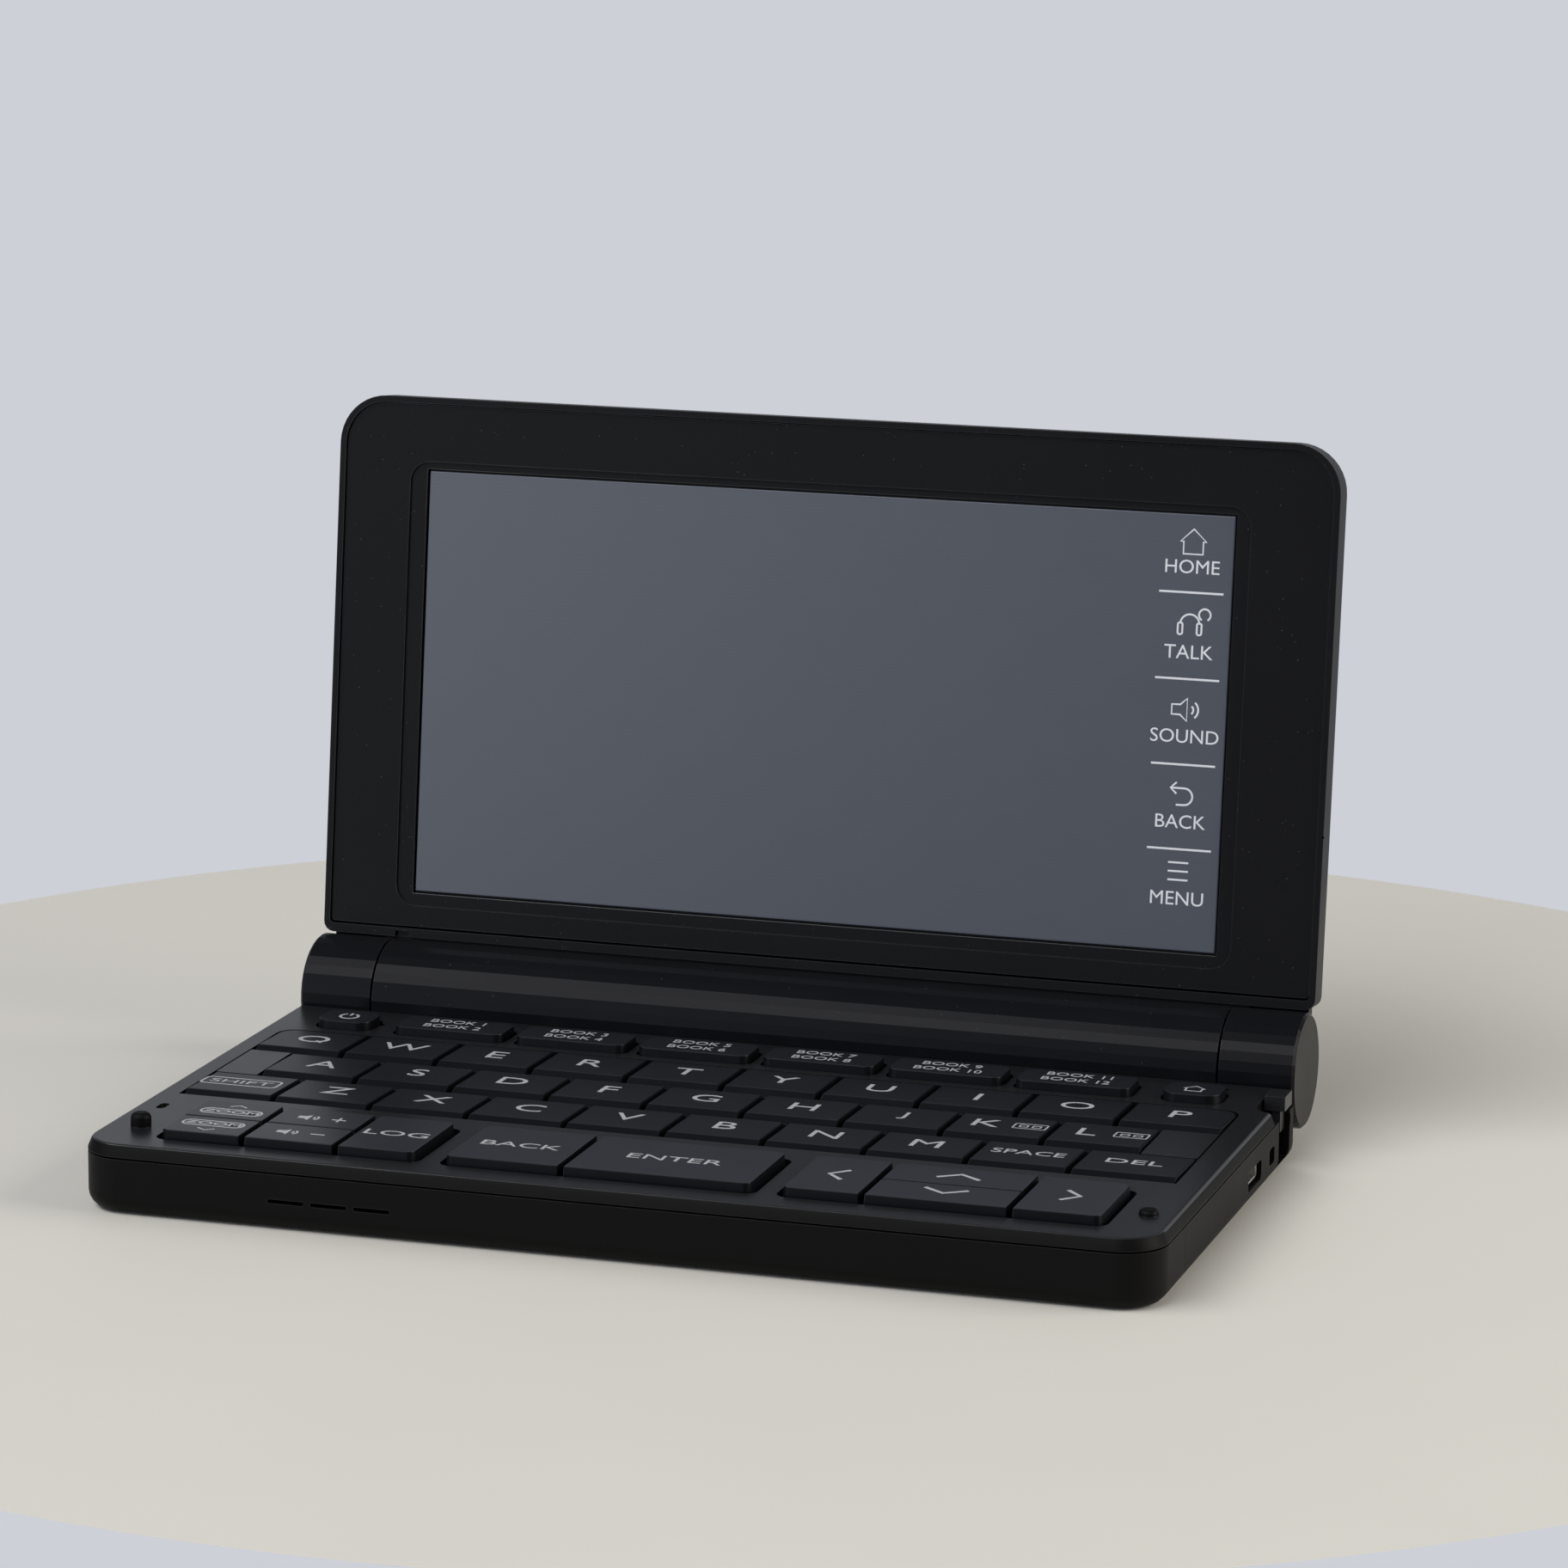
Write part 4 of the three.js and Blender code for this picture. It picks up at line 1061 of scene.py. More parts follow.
def screen_glass(tree, shader, place):
    """The unlit screen: a grey-blue layer with a faint cell pattern under a smooth surface."""
    colour = colours().screen
    grain = placed_group(tree, "Moulded grain", place, grain_size=0.1 * MM)
    dust = placed_group(tree, "Settled dust", place, amount=0.02)["Mask"]
    cells = brick_pattern(tree, place, 4000, 0.04, colour, scaled(colour, 1.02), scaled(colour, 0.94))
    cells.offset = 0
    tone = mixed(tree, grain["Mottle"], cells.outputs["Color"], scaled(colour, 1.05))
    gloss = ranged(tree, grain["Mottle"], 0.2, 0.24)
    paint_surface(tree, shader, mixed(tree, dust, tone, (0.5, 0.5, 0.5)), gloss)
    shader.inputs["Specular IOR Level"].default_value = 0.45


def board_lacquer(tree, shader, place):
    """Green lacquer with copper tracks showing through."""
    colour = colours().laminate
    grain = placed_group(tree, "Moulded grain", place, grain_size=0.3 * MM)
    tracks = brick_pattern(tree, place, 260, 0.06, colour, scaled(colour, 0.85), (0.06, 0.16, 0.05))
    tone = mixed(tree, grain["Mottle"], tracks.outputs["Color"], scaled(colour, 0.7))
    paint_surface(tree, shader, tone, ranged(tree, grain["Mottle"], 0.25, 0.4))
    bumped(tree, shader, tracks.outputs["Fac"], 0.03 * MM, 0.4)


def cell_sleeve(tree, shader, place):
    """A printed metal sleeve, paler where it is worn."""
    colour = colours().sleeve
    grain = placed_group(tree, "Moulded grain", place, grain_size=0.3 * MM)
    wear_and_highlight = placed_group(tree, "Edge wear and painted highlight", place)["Mask"]
    tone = mixed(tree, grain["Mottle"], colour, scaled(colour, 1.3))
    gloss = ranged(tree, grain["Mottle"], 0.22, 0.35)
    paint_surface(tree, shader, mixed(tree, wear_and_highlight, tone, (0.7, 0.68, 0.62)), gloss)
    shader.inputs["Metallic"].default_value = 0.7


# Lower case
def case_shell():
    """The tray and the tongue that runs under the barrel."""
    low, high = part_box("lower_case")
    tray = block("lower_case_shell", (low.x, low.y, 0), (high.x, CASE_REAR, CASE_TOP))
    round_edges(tray, front_upright, sizes().case_corner, sizes().corner_steps)
    round_edges(tray, lambda a, b: upright(a, b) and near(a.y, CASE_REAR), CASE_REAR_CORNER, steps=6)
    round_edges(tray, lambda a, b: level(a, b, 0), sizes().case_bottom_round, steps=5)
    tongue = block("tongue", (-TONGUE_HALF, TONGUE_START, 0), (TONGUE_HALF, HINGE.y, CASE_TOP))
    round_edges(tongue, lambda a, b: level(a, b, 0), TONGUE_ROUND, steps=4)
    add(tray, tongue)
    return tray


def case_room():
    """The hollow inside the tray, short of the finger recess."""
    low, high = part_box("lower_case")
    side = high.x - CASE_WALL
    room = block("room", (-side, low.y + CASE_WALL, CASE_FLOOR), (side, CAVITY_REAR, CASE_TOP + OVERRUN))
    round_edges(room, front_upright, sizes().case_corner - CASE_WALL, steps=6)
    cut_block(room, (RECESS_INNER_X - CASE_WALL, RECESS_FRONT - CASE_WALL, 0), (side * 2, HINGE.y, HINGE.z))
    return room


def cut_side_opening(tray, wall, y, z, length, height):
    """Cuts a rounded opening in the right wall."""
    low = (wall - CASE_WALL - OVERRUN, y - length / 2, z - height / 2)
    high = (wall + OVERRUN, y + length / 2, z + height / 2)
    cut_block(tray, low, high, along_x, OPENING_CORNER, steps=4)


def cut_cradle(piece, wall):
    """Cuts the round bed in which the barrel lies."""
    start, end = ((x, HINGE.y, HINGE.z) for x in (-wall * 2, wall * 2))
    cut_rod(piece, CRADLE_RADIUS, start, end, LARGE_ROUND_FACETS)


def cut_stylus_channel(piece, wall):
    """Cuts the channel of the stylus, a little longer than the stylus itself."""
    end = (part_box("stylus")[0].x - FIT, STYLUS_Y, STYLUS_Z)
    cut_rod(piece, STYLUS_RADIUS + FIT, end, (wall + OVERRUN, STYLUS_Y, STYLUS_Z), SMALL_HOLE_FACETS)


def cut_case_openings(tray):
    """Cuts the cradle, slots, side openings, finger recess, stylus channel and foot seats."""
    low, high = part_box("lower_case")
    wall, top = high.x, CASE_TOP + OVERRUN
    cut_cradle(tray, wall)
    for number in range(SLOT_COUNT):
        x = SLOT_FIRST_X + SLOT_PITCH * number
        slot_low = (x - SLOT_LENGTH / 2, low.y - OVERRUN, SLOT_Z - SLOT_HEIGHT / 2)
        slot_high = (x + SLOT_LENGTH / 2, low.y + CASE_WALL + OVERRUN, SLOT_Z + SLOT_HEIGHT / 2)
        cut_block(tray, slot_low, slot_high, along_y, SLOT_CORNER, steps=3)
    cut_side_opening(tray, wall, PORT_Y, PORT_Z, PORT_LENGTH, PORT_HEIGHT)
    cut_side_opening(tray, wall, STRAP_Y, STRAP_Z, STRAP_LENGTH, STRAP_HEIGHT)
    cut_block(tray, (RECESS_INNER_X, RECESS_FRONT, RECESS_FLOOR), (wall + OVERRUN, RECESS_BACK, top))
    gap_low = (RECESS_INNER_X, RECESS_BACK - FIT, RECESS_FLOOR + POST_GAP)
    cut_block(tray, gap_low, (wall + OVERRUN, RECESS_BACK + POST_GAP, top))
    seam_front = SIDE_SEAM_Y - SIDE_SEAM_WIDTH / 2
    seam_back = SIDE_SEAM_Y + SIDE_SEAM_WIDTH / 2
    cut_block(tray, (wall - SIDE_SEAM_DEPTH, seam_front, -OVERRUN), (wall + OVERRUN, seam_back, top))
    cut_stylus_channel(tray, wall)
    for x, y in sorted(FOOT_PLACES):
        cut_rod(tray, FOOT_RADIUS, (x, y, -OVERRUN), (x, y, FOOT_SEAT), FOOT_FACETS)


def socket_liner():
    """The metal mouth of the side port and the plastic tongue inside it."""
    half = SOCKET_LENGTH / 2
    low = (SOCKET_DEEP_X, PORT_Y - half, SOCKET_LOW)
    liner = block("socket_liner", low, (SOCKET_MOUTH_X, PORT_Y + half, SOCKET_HIGH))
    round_edges(liner, along_x, SOCKET_CORNER, steps=4)
    pick_faces(liner, lambda normal: normal.x > FACING)
    bpy.ops.mesh.inset(thickness=SOCKET_WALL, depth=0)
    mouth_depth = SOCKET_DEEP_X + SOCKET_BACK - SOCKET_MOUTH_X
    bpy.ops.mesh.extrude_region_move(TRANSFORM_OT_translate={"value": (mouth_depth, 0, 0)})
    bpy.ops.object.mode_set(mode="OBJECT")
    soften(liner, SOCKET_EDGE)
    middle = (SOCKET_LOW + SOCKET_HIGH) / 2
    half = SOCKET_LENGTH * TONGUE_HALF_SHARE
    low = (SOCKET_DEEP_X + SOCKET_BACK / 2, PORT_Y - half, middle - SOCKET_WALL)
    tongue = block("socket_tongue", low, (SOCKET_MOUTH_X - SOCKET_BACK, PORT_Y + half, middle + SOCKET_WALL))
    soften(tongue, FINE_EDGE)
    coat(liner, socket_metal)
    coat(tongue, speaker_finish)
    socket = join([liner, tongue], "side_socket_mouth")
    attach(socket, "base")


def rubber_feet():
    """Four round feet pressed into their seats, almost flush with the lowest face."""
    first = rod("foot", FOOT_RADIUS - FOOT_FIT, (0, 0, FOOT_SETBACK), (0, 0, FOOT_SEAT), FOOT_FACETS)
    pick_faces(first, lambda normal: normal.z < -FACING)
    bpy.ops.mesh.inset(thickness=FOOT_RIM, depth=0)
    bpy.ops.mesh.inset(thickness=FOOT_STEP, depth=-FOOT_HOLLOW)
    bpy.ops.object.mode_set(mode="OBJECT")
    soften(first, FINE_EDGE)
    coat(first, rubber_finish)
    for number, (x, y) in enumerate(FOOT_PLACES):
        foot = first.copy()
        foot.data = first.data.copy()
        foot.name = f"rubber_foot_{number + 1}"
        bpy.context.scene.collection.objects.link(foot)
        foot.location = (x, y, 0)
        settle(foot)
        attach(foot, "base")
    bpy.data.objects.remove(first)


class DICTIONARY_OT_lower_case(bpy.types.Operator):
    """Build the lower case and its rubber feet"""

    bl_idname = "dictionary.lower_case"
    bl_label = "Lower Case and Feet"

    def execute(self, context):
        tray = case_shell()
        cut(tray, case_room())
        cut_case_openings(tray)
        clean(tray)
        soften(tray, SHELL_EDGE)
        coat(tray, case_finish)
        finish_piece(tray, "base", ["lower_case"])
        socket_liner()
        rubber_feet()
        return {"FINISHED"}


# Keyboard deck
def deck_plate():
    """The plate with sloping sides and the lip that seats it in the case."""
    low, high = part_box("keyboard_deck")
    plate = block("keyboard_deck_plate", (low.x, low.y, DECK_LOW), (high.x, HINGE.y, DECK_LOW + DECK_BAND))
    round_edges(plate, front_upright, sizes().case_corner, sizes().corner_steps)
    pick_faces(plate, lambda normal: normal.z > FACING)
    bpy.ops.mesh.inset(thickness=DECK_SLOPE, depth=DECK_TOP - DECK_LOW - DECK_BAND)
    bpy.ops.object.mode_set(mode="OBJECT")
    pick_faces(plate, lambda normal: normal.z < -FACING)
    bpy.ops.mesh.inset(thickness=CASE_WALL + FIT, depth=0)
    bpy.ops.mesh.extrude_region_move(TRANSFORM_OT_translate={"value": (0, 0, LIP_LOW - DECK_LOW)})
    bpy.ops.object.mode_set(mode="OBJECT")
    round_edges(plate, lambda a, b: level(a, b, DECK_TOP), DECK_EDGE, steps=3)
    return plate


def cut_key_opening(plate, names, corner, gap=KEY_FIT, rounded=upright):
    """Cuts an opening that leaves a gap round a group of keys; rounded picks its corners."""
    lows = [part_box(name)[0] for name in names]
    highs = [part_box(name)[1] for name in names]
    low = (min(low.x for low in lows) - gap, min(low.y for low in lows) - gap, LIP_LOW - OVERRUN)
    high = (max(high.x for high in highs) + gap, max(high.y for high in highs) + gap, PEG_TOP + OVERRUN)
    cut_block(plate, low, high, rounded, corner + gap, steps=6)


def cut_blank_gaps(plate):
    """Cuts the lines that close the two blank ends of the middle letter row."""
    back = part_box("key_q")[0].y + OVERRUN
    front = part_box("key_shift")[1].y - OVERRUN
    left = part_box("key_q")[0].x - KEY_FIT
    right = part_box("key_p")[1].x + KEY_FIT
    for start, end in ((left, left + BLANK_GAP), (right - BLANK_GAP, right)):
        cut_block(plate, (start, front, DECK_TOP - BLANK_GAP_DEPTH), (end, back, DECK_TOP + OVERRUN))


def cut_deck(plate):
    """Cuts the cradle, the key openings, the finger notch, the stylus channel and the slit."""
    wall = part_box("keyboard_deck")[1].x
    cut_cradle(plate, wall)
    row_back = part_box("key_q")[1].y
    cut_key_opening(plate, UPPER_ROW, LETTER_CORNER, rounded=lambda a, b: upright(a, b) and a.y > row_back)
    for row in (MIDDLE_ROW, LOWER_ROW):
        cut_key_opening(plate, row, 0, rounded=None)
    for group in FRONT_GROUPS:
        cut_key_opening(plate, group, FRONT_KEY_CORNER, FRONT_KEY_GAP)
    for name in (*FUNCTION_ROW, "key_power", "key_home"):
        cut_key_opening(plate, [name], TOP_CORNERS[name])
    cut_blank_gaps(plate)
    inner_corner = lambda a, b: upright(a, b) and a.x < wall and a.y < HINGE.y
    notch_high = (wall + OVERRUN, HINGE.y + OVERRUN, PEG_TOP)
    cut_block(plate, (NOTCH_X, NOTCH_Y, 0), notch_high, inner_corner, NOTCH_CORNER, steps=6)
    pocket_low = (RECESS_INNER_X - CASE_WALL - FIT, RECESS_FRONT - CASE_WALL - FIT, 0)
    cut_block(plate, pocket_low, (wall + OVERRUN, HINGE.y, DECK_LOW))
    cut_stylus_channel(plate, wall)
    slit_low = (SLIT_X - SLIT_WIDTH / 2, SLIT_Y - SLIT_LENGTH / 2, DECK_TOP - SLIT_DEPTH)
    slit_high = (SLIT_X + SLIT_WIDTH / 2, SLIT_Y + SLIT_LENGTH / 2, DECK_TOP + OVERRUN)
    cut_block(plate, slit_low, slit_high, upright, SLIT_CORNER, steps=6)
    for x, y in PIN_HOLE_PLACES:
        hole_floor = (x, y, DECK_TOP - PIN_HOLE_DEPTH)
        cut_rod(plate, PIN_HOLE_RADIUS, hole_floor, (x, y, PEG_TOP), SMALL_HOLE_FACETS)


def deck_peg(name, x, y, radius, top, rounding, steps):
    """A small round post with a rounded top on the deck."""
    peg = rod(name, radius, (x, y, DECK_LOW), (x, y, top), PEG_FACETS)
    round_edges(peg, lambda a, b: level(a, b, top), rounding, steps)
    soften(peg, PEG_EDGE)
    return coat(peg, case_finish)


class DICTIONARY_OT_keyboard_deck(bpy.types.Operator):
    """Build the keyboard deck with its peg and bumper"""

    bl_idname = "dictionary.keyboard_deck"
    bl_label = "Keyboard Deck"

    def execute(self, context):
        plate = deck_plate()
        cut_deck(plate)
        clean(plate)
        soften(plate, SHELL_EDGE)
        # The deck's sloping sides take the darker, duller case plastic as painted shade.
        coat_by_slope(plate, deck_finish, case_finish, FLAT_TOP_RISE)
        peg = deck_peg("peg", PEG_X, PEG_Y, PEG_RADIUS, PEG_TOP, PEG_ROUND, steps=5)
        bumper = deck_peg("bumper", BUMPER_X, BUMPER_Y, BUMPER_RADIUS, BUMPER_TOP, BUMPER_ROUND, steps=4)
        deck = join([plate, peg, bumper], "keyboard_deck_plate")
        finish_piece(deck, "base", ["keyboard_deck"])
        return {"FINISHED"}


# Keys
def key_stem(low, high):
    """The square stem under a key cap."""
    x, y = middle_of(low, high)
    stem_high = (x + STEM_HALF, y + STEM_HALF, CAP_LOW + INK_RISE)
    stem = block("stem", (x - STEM_HALF, y - STEM_HALF, low.z), stem_high)
    soften(stem, SHELL_EDGE, steps=1)
    return coat(stem, key_finish)


def narrow_top(cap, low, high, front_to_back):
    """Draws the upper face of a cap in, so that its sides slope."""
    pick_faces(cap, lambda normal: normal.z > ROUGHLY_FACING)
    wide, deep = high.x - low.x, high.y - low.y
    bpy.ops.transform.resize(
        value=(1 - 2 * TOP_NARROWING / wide, 1 - 2 * front_to_back / deep, 1),
        center_override=(*middle_of(low, high), high.z),
    )
    bpy.ops.object.mode_set(mode="OBJECT")


def letter_cap(name):
    """A cap whose top rises a little to the front and then falls away along its front edge."""
    low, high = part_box(name)
    cap = block("cap", (low.x, low.y, CAP_LOW), high)
    bend = Vector((0, high.y - LETTER_FLAT, high.z))
    fall = Vector((0, -LETTER_DROP, high.y - LETTER_FLAT - low.y)).normalized()
    rise = Vector((0, LETTER_TILT, LETTER_FLAT)).normalized()
    focus(cap)
    bpy.ops.object.mode_set(mode="EDIT")
    for facing in (fall, rise):
        bpy.ops.mesh.select_all(action="SELECT")
        bpy.ops.mesh.bisect(plane_co=bend, plane_no=facing, use_fill=True, clear_outer=True)
    bpy.ops.object.mode_set(mode="OBJECT")
    narrow_top(cap, low, high, 0)
    outer = {"key_q": low.x, "key_p": high.x}
    if name in outer:
        at_corner = lambda point: abs(point.x - outer[name]) < MM and near(point.y, high.y)
        round_edges(cap, lambda a, b: at_corner(a) and at_corner(b), LETTER_CORNER, steps=6)
    soften(cap, sizes().key_edge, angle=4, smooth=16)
    # The sloping front and the sides of the cap take the darker finish as painted shade.
    return coat_by_slope(cap, key_finish, key_side_finish, LETTER_TOP_RISE)


def split_rocker(cap, low, high):
    """Cuts the groove between the two ends of a rocker."""
    front = (low.y + high.y - ROCKER_GROOVE_WIDTH) / 2
    back = (low.y + high.y + ROCKER_GROOVE_WIDTH) / 2
    groove_low = (low.x - OVERRUN, front, high.z - ROCKER_GROOVE_DEPTH)
    cut_block(cap, groove_low, (high.x + OVERRUN, back, high.z + OVERRUN))


def raised_cap(name, rounded, corner, material):
    """A flat-topped cap; rounded picks its rounded corners."""
    low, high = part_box(name)
    cap = block("cap", (low.x, low.y, CAP_LOW), high)
    round_edges(cap, rounded, corner, steps=6)
    narrow_top(cap, low, high, TOP_NARROWING)
    if name in ROCKERS:
        split_rocker(cap, low, high)
    soften(cap, sizes().key_edge, angle=30)
    # The sides of the cap take the darker finish as painted shade.
    return coat_by_slope(cap, material, key_side_finish, FLAT_TOP_RISE)


def finish_key(name, cap, marks):
    """Joins cap, stem and legends into one key."""
    key = join([cap, key_stem(*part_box(name)), *marks], f"{name}_cap")
    finish_piece(key, name, [name])


def letter_mark(name):
    """The legends of one letter key, flat at the origin."""
    if name in KEY_WORDS:
        return [lettering(*KEY_WORDS[name])]
    height, stretch = sizes().letter_height, sizes().letter_stretch
    if name == "key_q":
        tail = drawn_line(Q_TAIL, Q_TAIL_WIDTH)
        return [lettering("O", height, stretch), tail]
    if name == "key_shift":
        border = drawn_line(frame_points(*SHIFT_BORDER), SHIFT_LINE, closed=True)
        return placed([border, lettering("SHIFT", *SHIFT_LETTERING)], SHIFT_X, 0)
    letter = [lettering(name[-1].upper(), height, stretch)]
    if name not in TAGGED_KEYS:
        return letter
    tag = [drawn_line(frame_points(*TAG_BORDER), TAG_LINE, closed=True)]
    for x in (-TAG_CELL_X, TAG_CELL_X):
        tag += placed([drawn_line(frame_points(*TAG_CELL_BORDER), TAG_CELL_LINE, closed=True)], x, 0)
    return placed(letter, TAGGED_LETTER_X, 0) + placed(tag, TAG_X, 0)


class DICTIONARY_OT_letter_keys(bpy.types.Operator):
    """Build the three rows of letter keys with their legends"""

    bl_idname = "dictionary.letter_keys"
    bl_label = "Letter Keys"

    def execute(self, context):
        tilt = math.atan(LETTER_TILT / LETTER_FLAT)
        fall = LETTER_TILT * (1 - LETTER_PLACE / LETTER_FLAT)
        for name in UPPER_ROW + MIDDLE_ROW + LOWER_ROW:
            low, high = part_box(name)
            marks = [coat(mark, legend_ink) for mark in letter_mark(name)]
            placed(marks, middle_of(low, high)[0], high.y - LETTER_PLACE, high.z - fall, -tilt)
            finish_key(name, letter_cap(name), marks)
        return {"FINISHED"}


def top_mark(name):
    """The legends of one small key behind the letters."""
    if name == "key_power":
        return power_sign(*POWER_SIGN)
    if name == "key_home":
        return house(*HOME_SIGN)
    marks = []
    for number, y in enumerate(BOOK_PLACES, int(name[-1]) * 2 - 1):
        marks += placed([lettering(f"BOOK {number}", *BOOK_LETTERING)], 0, y)
    return marks


class DICTIONARY_OT_top_keys(bpy.types.Operator):
    """Build the small keys behind the letters"""

    bl_idname = "dictionary.top_keys"
    bl_label = "Top Row Keys"

    def execute(self, context):
        for name, corner in TOP_CORNERS.items():
            low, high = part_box(name)
            marks = [coat(mark, legend_ink) for mark in top_mark(name)]
            placed(marks, *middle_of(low, high), high.z)
            finish_key(name, raised_cap(name, upright, corner, key_finish), marks)
        return {"FINISHED"}


def zoom_mark():
    """A word in an outlined pill and an arrowhead at each end of the rocker."""
    marks = []
    for end in (1, -1):
        pill = drawn_line(frame_points(*ZOOM_BORDER), ZOOM_LINE, closed=True)
        marks += placed([pill, lettering("ZOOM", *ZOOM_LETTERING)], 0, end * ZOOM_WORD_Y)
        marks += placed(chevron(*ZOOM_ARROW, 90 - 90 * end), 0, end * ZOOM_ARROW_Y)
    return marks


def volume_mark():
    """A loudspeaker with plus and one with minus."""
    marks = []
    for end in (1, -1):
        marks += placed(loudspeaker(*VOLUME_SPEAKER, filled=True), VOLUME_SPEAKER_X, end * VOLUME_Y)
        strokes = [drawn_line([(-VOLUME_SIGN_HALF, 0), (VOLUME_SIGN_HALF, 0)], VOLUME_SIGN_LINE)]
        if end == 1:
            strokes.append(drawn_line([(0, -VOLUME_SIGN_HALF), (0, VOLUME_SIGN_HALF)], VOLUME_SIGN_LINE))
        marks += placed(strokes, VOLUME_SIGN_X, end * VOLUME_Y)
    return marks


def front_mark(name):
    """The legends of one key of the front row."""
    if name in KEY_WORDS:
        return [lettering(*KEY_WORDS[name])]
    if name == "key_zoom":
        return zoom_mark()
    if name == "key_volume":
        return volume_mark()
    line = sizes().line_width
    if name == "key_up_down":
        up = placed(chevron(*UP_DOWN_ARROW, line, 0), 0, UP_Y)
        return up + placed(chevron(*UP_DOWN_ARROW, line, 180), 0, DOWN_Y)
    return chevron(*SIDE_ARROW, line, 90 if name == "key_left" else -90)


class DICTIONARY_OT_front_keys(bpy.types.Operator):
    """Build the front row of keys, rockers included"""

    bl_idname = "dictionary.front_keys"
    bl_label = "Front Row Keys"

    def execute(self, context):
        for group in FRONT_GROUPS:
            ends = (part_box(group[0])[0].x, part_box(group[-1])[1].x)
            at_end = lambda a, b: upright(a, b) and any(near(a.x, end) for end in ends)
            for name in group:
                low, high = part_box(name)
                marks = [coat(mark, legend_ink) for mark in front_mark(name)]
                placed(marks, *middle_of(low, high), high.z)
                cap = raised_cap(name, at_end, FRONT_KEY_CORNER, front_key_finish)
                finish_key(name, cap, marks)
        return {"FINISHED"}


class DICTIONARY_OT_battery_barrel(bpy.types.Operator):
    """Dress the faceted barrel and its cover"""

    bl_idname = "dictionary.battery_barrel"
    bl_label = "Battery Barrel and Cover"

    def execute(self, context):
        for node, body in (("battery_barrel", "base"), ("battery_cover", "battery_cover")):
            piece = refined_copy(node, f"{node}_shell", BARREL_EDGE, smooth=5)
            finish_piece(coat(piece, barrel_finish), body, [node])
        return {"FINISHED"}


class DICTIONARY_OT_hinge_knuckles(bpy.types.Operator):
    """Dress the round hinge ends"""

    bl_idname = "dictionary.hinge_knuckles"
    bl_label = "Hinge Knuckles"

    def execute(self, context):
        for side in ("left", "right"):
            knuckle = refined_copy(f"{side}_knuckle", f"{side}_knuckle_drum", LID_EDGE, smooth=5)
            at_end = lambda face: face.center.x * face.normal.x > 0 and abs(face.normal.x) > FACING
            coat_faces(coat(knuckle, barrel_finish), knuckle_finish, at_end)
            finish_piece(knuckle, "lid", [f"{side}_knuckle"])
        return {"FINISHED"}


# Lid
def lid_block(name, low, high, top_corner, bottom_corner, steps):
    """A block with rounded corners as seen from the front."""
    piece = block(name, low, high)
    round_edges(piece, lambda a, b: along_y(a, b) and near(a.z, high[2]), top_corner, steps)
    if bottom_corner:
        round_edges(piece, lambda a, b: along_y(a, b) and near(a.z, low[2]), bottom_corner, steps=4)
    return piece


class DICTIONARY_OT_lid_shell(bpy.types.Operator):
    """Build the back shell of the lid with its thin front rim"""

    bl_idname = "dictionary.lid_shell"
    bl_label = "Lid Shell"

    def execute(self, context):
        low, high = lid_box("lid_back_cover")
        low.z = LID_LOW
        corner, steps = sizes().lid_corner, sizes().corner_steps
        shell = lid_block("lid_shell", low, high, corner, LID_BOTTOM_CORNER, steps)
        at_back = lambda a, b: near(a.y, high.y) and near(b.y, high.y)
        round_edges(shell, at_back, sizes().lid_back_round, steps=5)
        room_low = (low.x + LID_WALL, low.y - OVERRUN, LID_ROOM_LOW)
        room_high = (high.x - LID_WALL, high.y - LID_BACK_WALL, high.z - LID_WALL)
        cut(shell, lid_block("room", room_low, room_high, corner - LID_WALL, INNER_LOW_CORNER, steps))
        half = LID_MIDDLE_HALF
        cut_rod(shell, LID_BARREL_ROOM, (-half, 0, 0), (half, 0, 0), LARGE_ROUND_FACETS)
        rib = block("rib", (-SEAL_HALF, SEAL_FRONT, SEAL_LOW), (SEAL_HALF, SEAL_BACK, LID_ROOM_LOW - WELD))
        cut_rod(rib, SEAL_RADIUS, (-SEAL_HALF * 2, 0, 0), (SEAL_HALF * 2, 0, 0), SEAL_FACETS)
        add(shell, rib)
        for start, end in ((-NECK_OUTER, -NECK_INNER), (NECK_INNER, NECK_OUTER)):
            cut_block(shell, (start, NECK_FRONT, 0), (end, high.y - LID_BACK_WALL, LID_ROOM_LOW + OVERRUN))
        seam_low = (high.x - LID_SEAM_DEPTH, 0, LID_SEAM_HEIGHT - LID_SEAM_HALF)
        seam_high = (high.x + OVERRUN, low.y + LID_SEAM_DEPTH, LID_SEAM_HEIGHT + LID_SEAM_HALF)
        cut_block(shell, seam_low, seam_high)
        notch_high = (LID_NOTCH_LENGTH - half, low.y + LID_NOTCH_DEPTH, low.z + LID_NOTCH_HEIGHT)
        cut_block(shell, (-half, low.y - OVERRUN, low.z - OVERRUN), notch_high)
        clean(shell)
        soften(shell, LID_EDGE)
        into_lid(coat(shell, lid_finish))
        finish_piece(shell, "lid", ["lid_back_cover"])
        return {"FINISHED"}


# Screen surround and screen
def in_window(x, z, margin):
    """True for a place in the window or within the margin round it."""
    across = WINDOW_LEFT - margin <= x <= WINDOW_RIGHT + margin
    return across and WINDOW_LOW - margin <= z <= WINDOW_HIGH + margin


def slopes_to_window(face, ledge):
    """True for a sloping face between the ledge and the window."""
    middle = face.center
    sloping = SLOPE_LEAST < -face.normal.y < SLOPE_MOST
    behind_ledge = WELD < middle.y - ledge < WINDOW_CHAMFER
    return sloping and behind_ledge and in_window(middle.x, middle.z, WINDOW_CHAMFER)


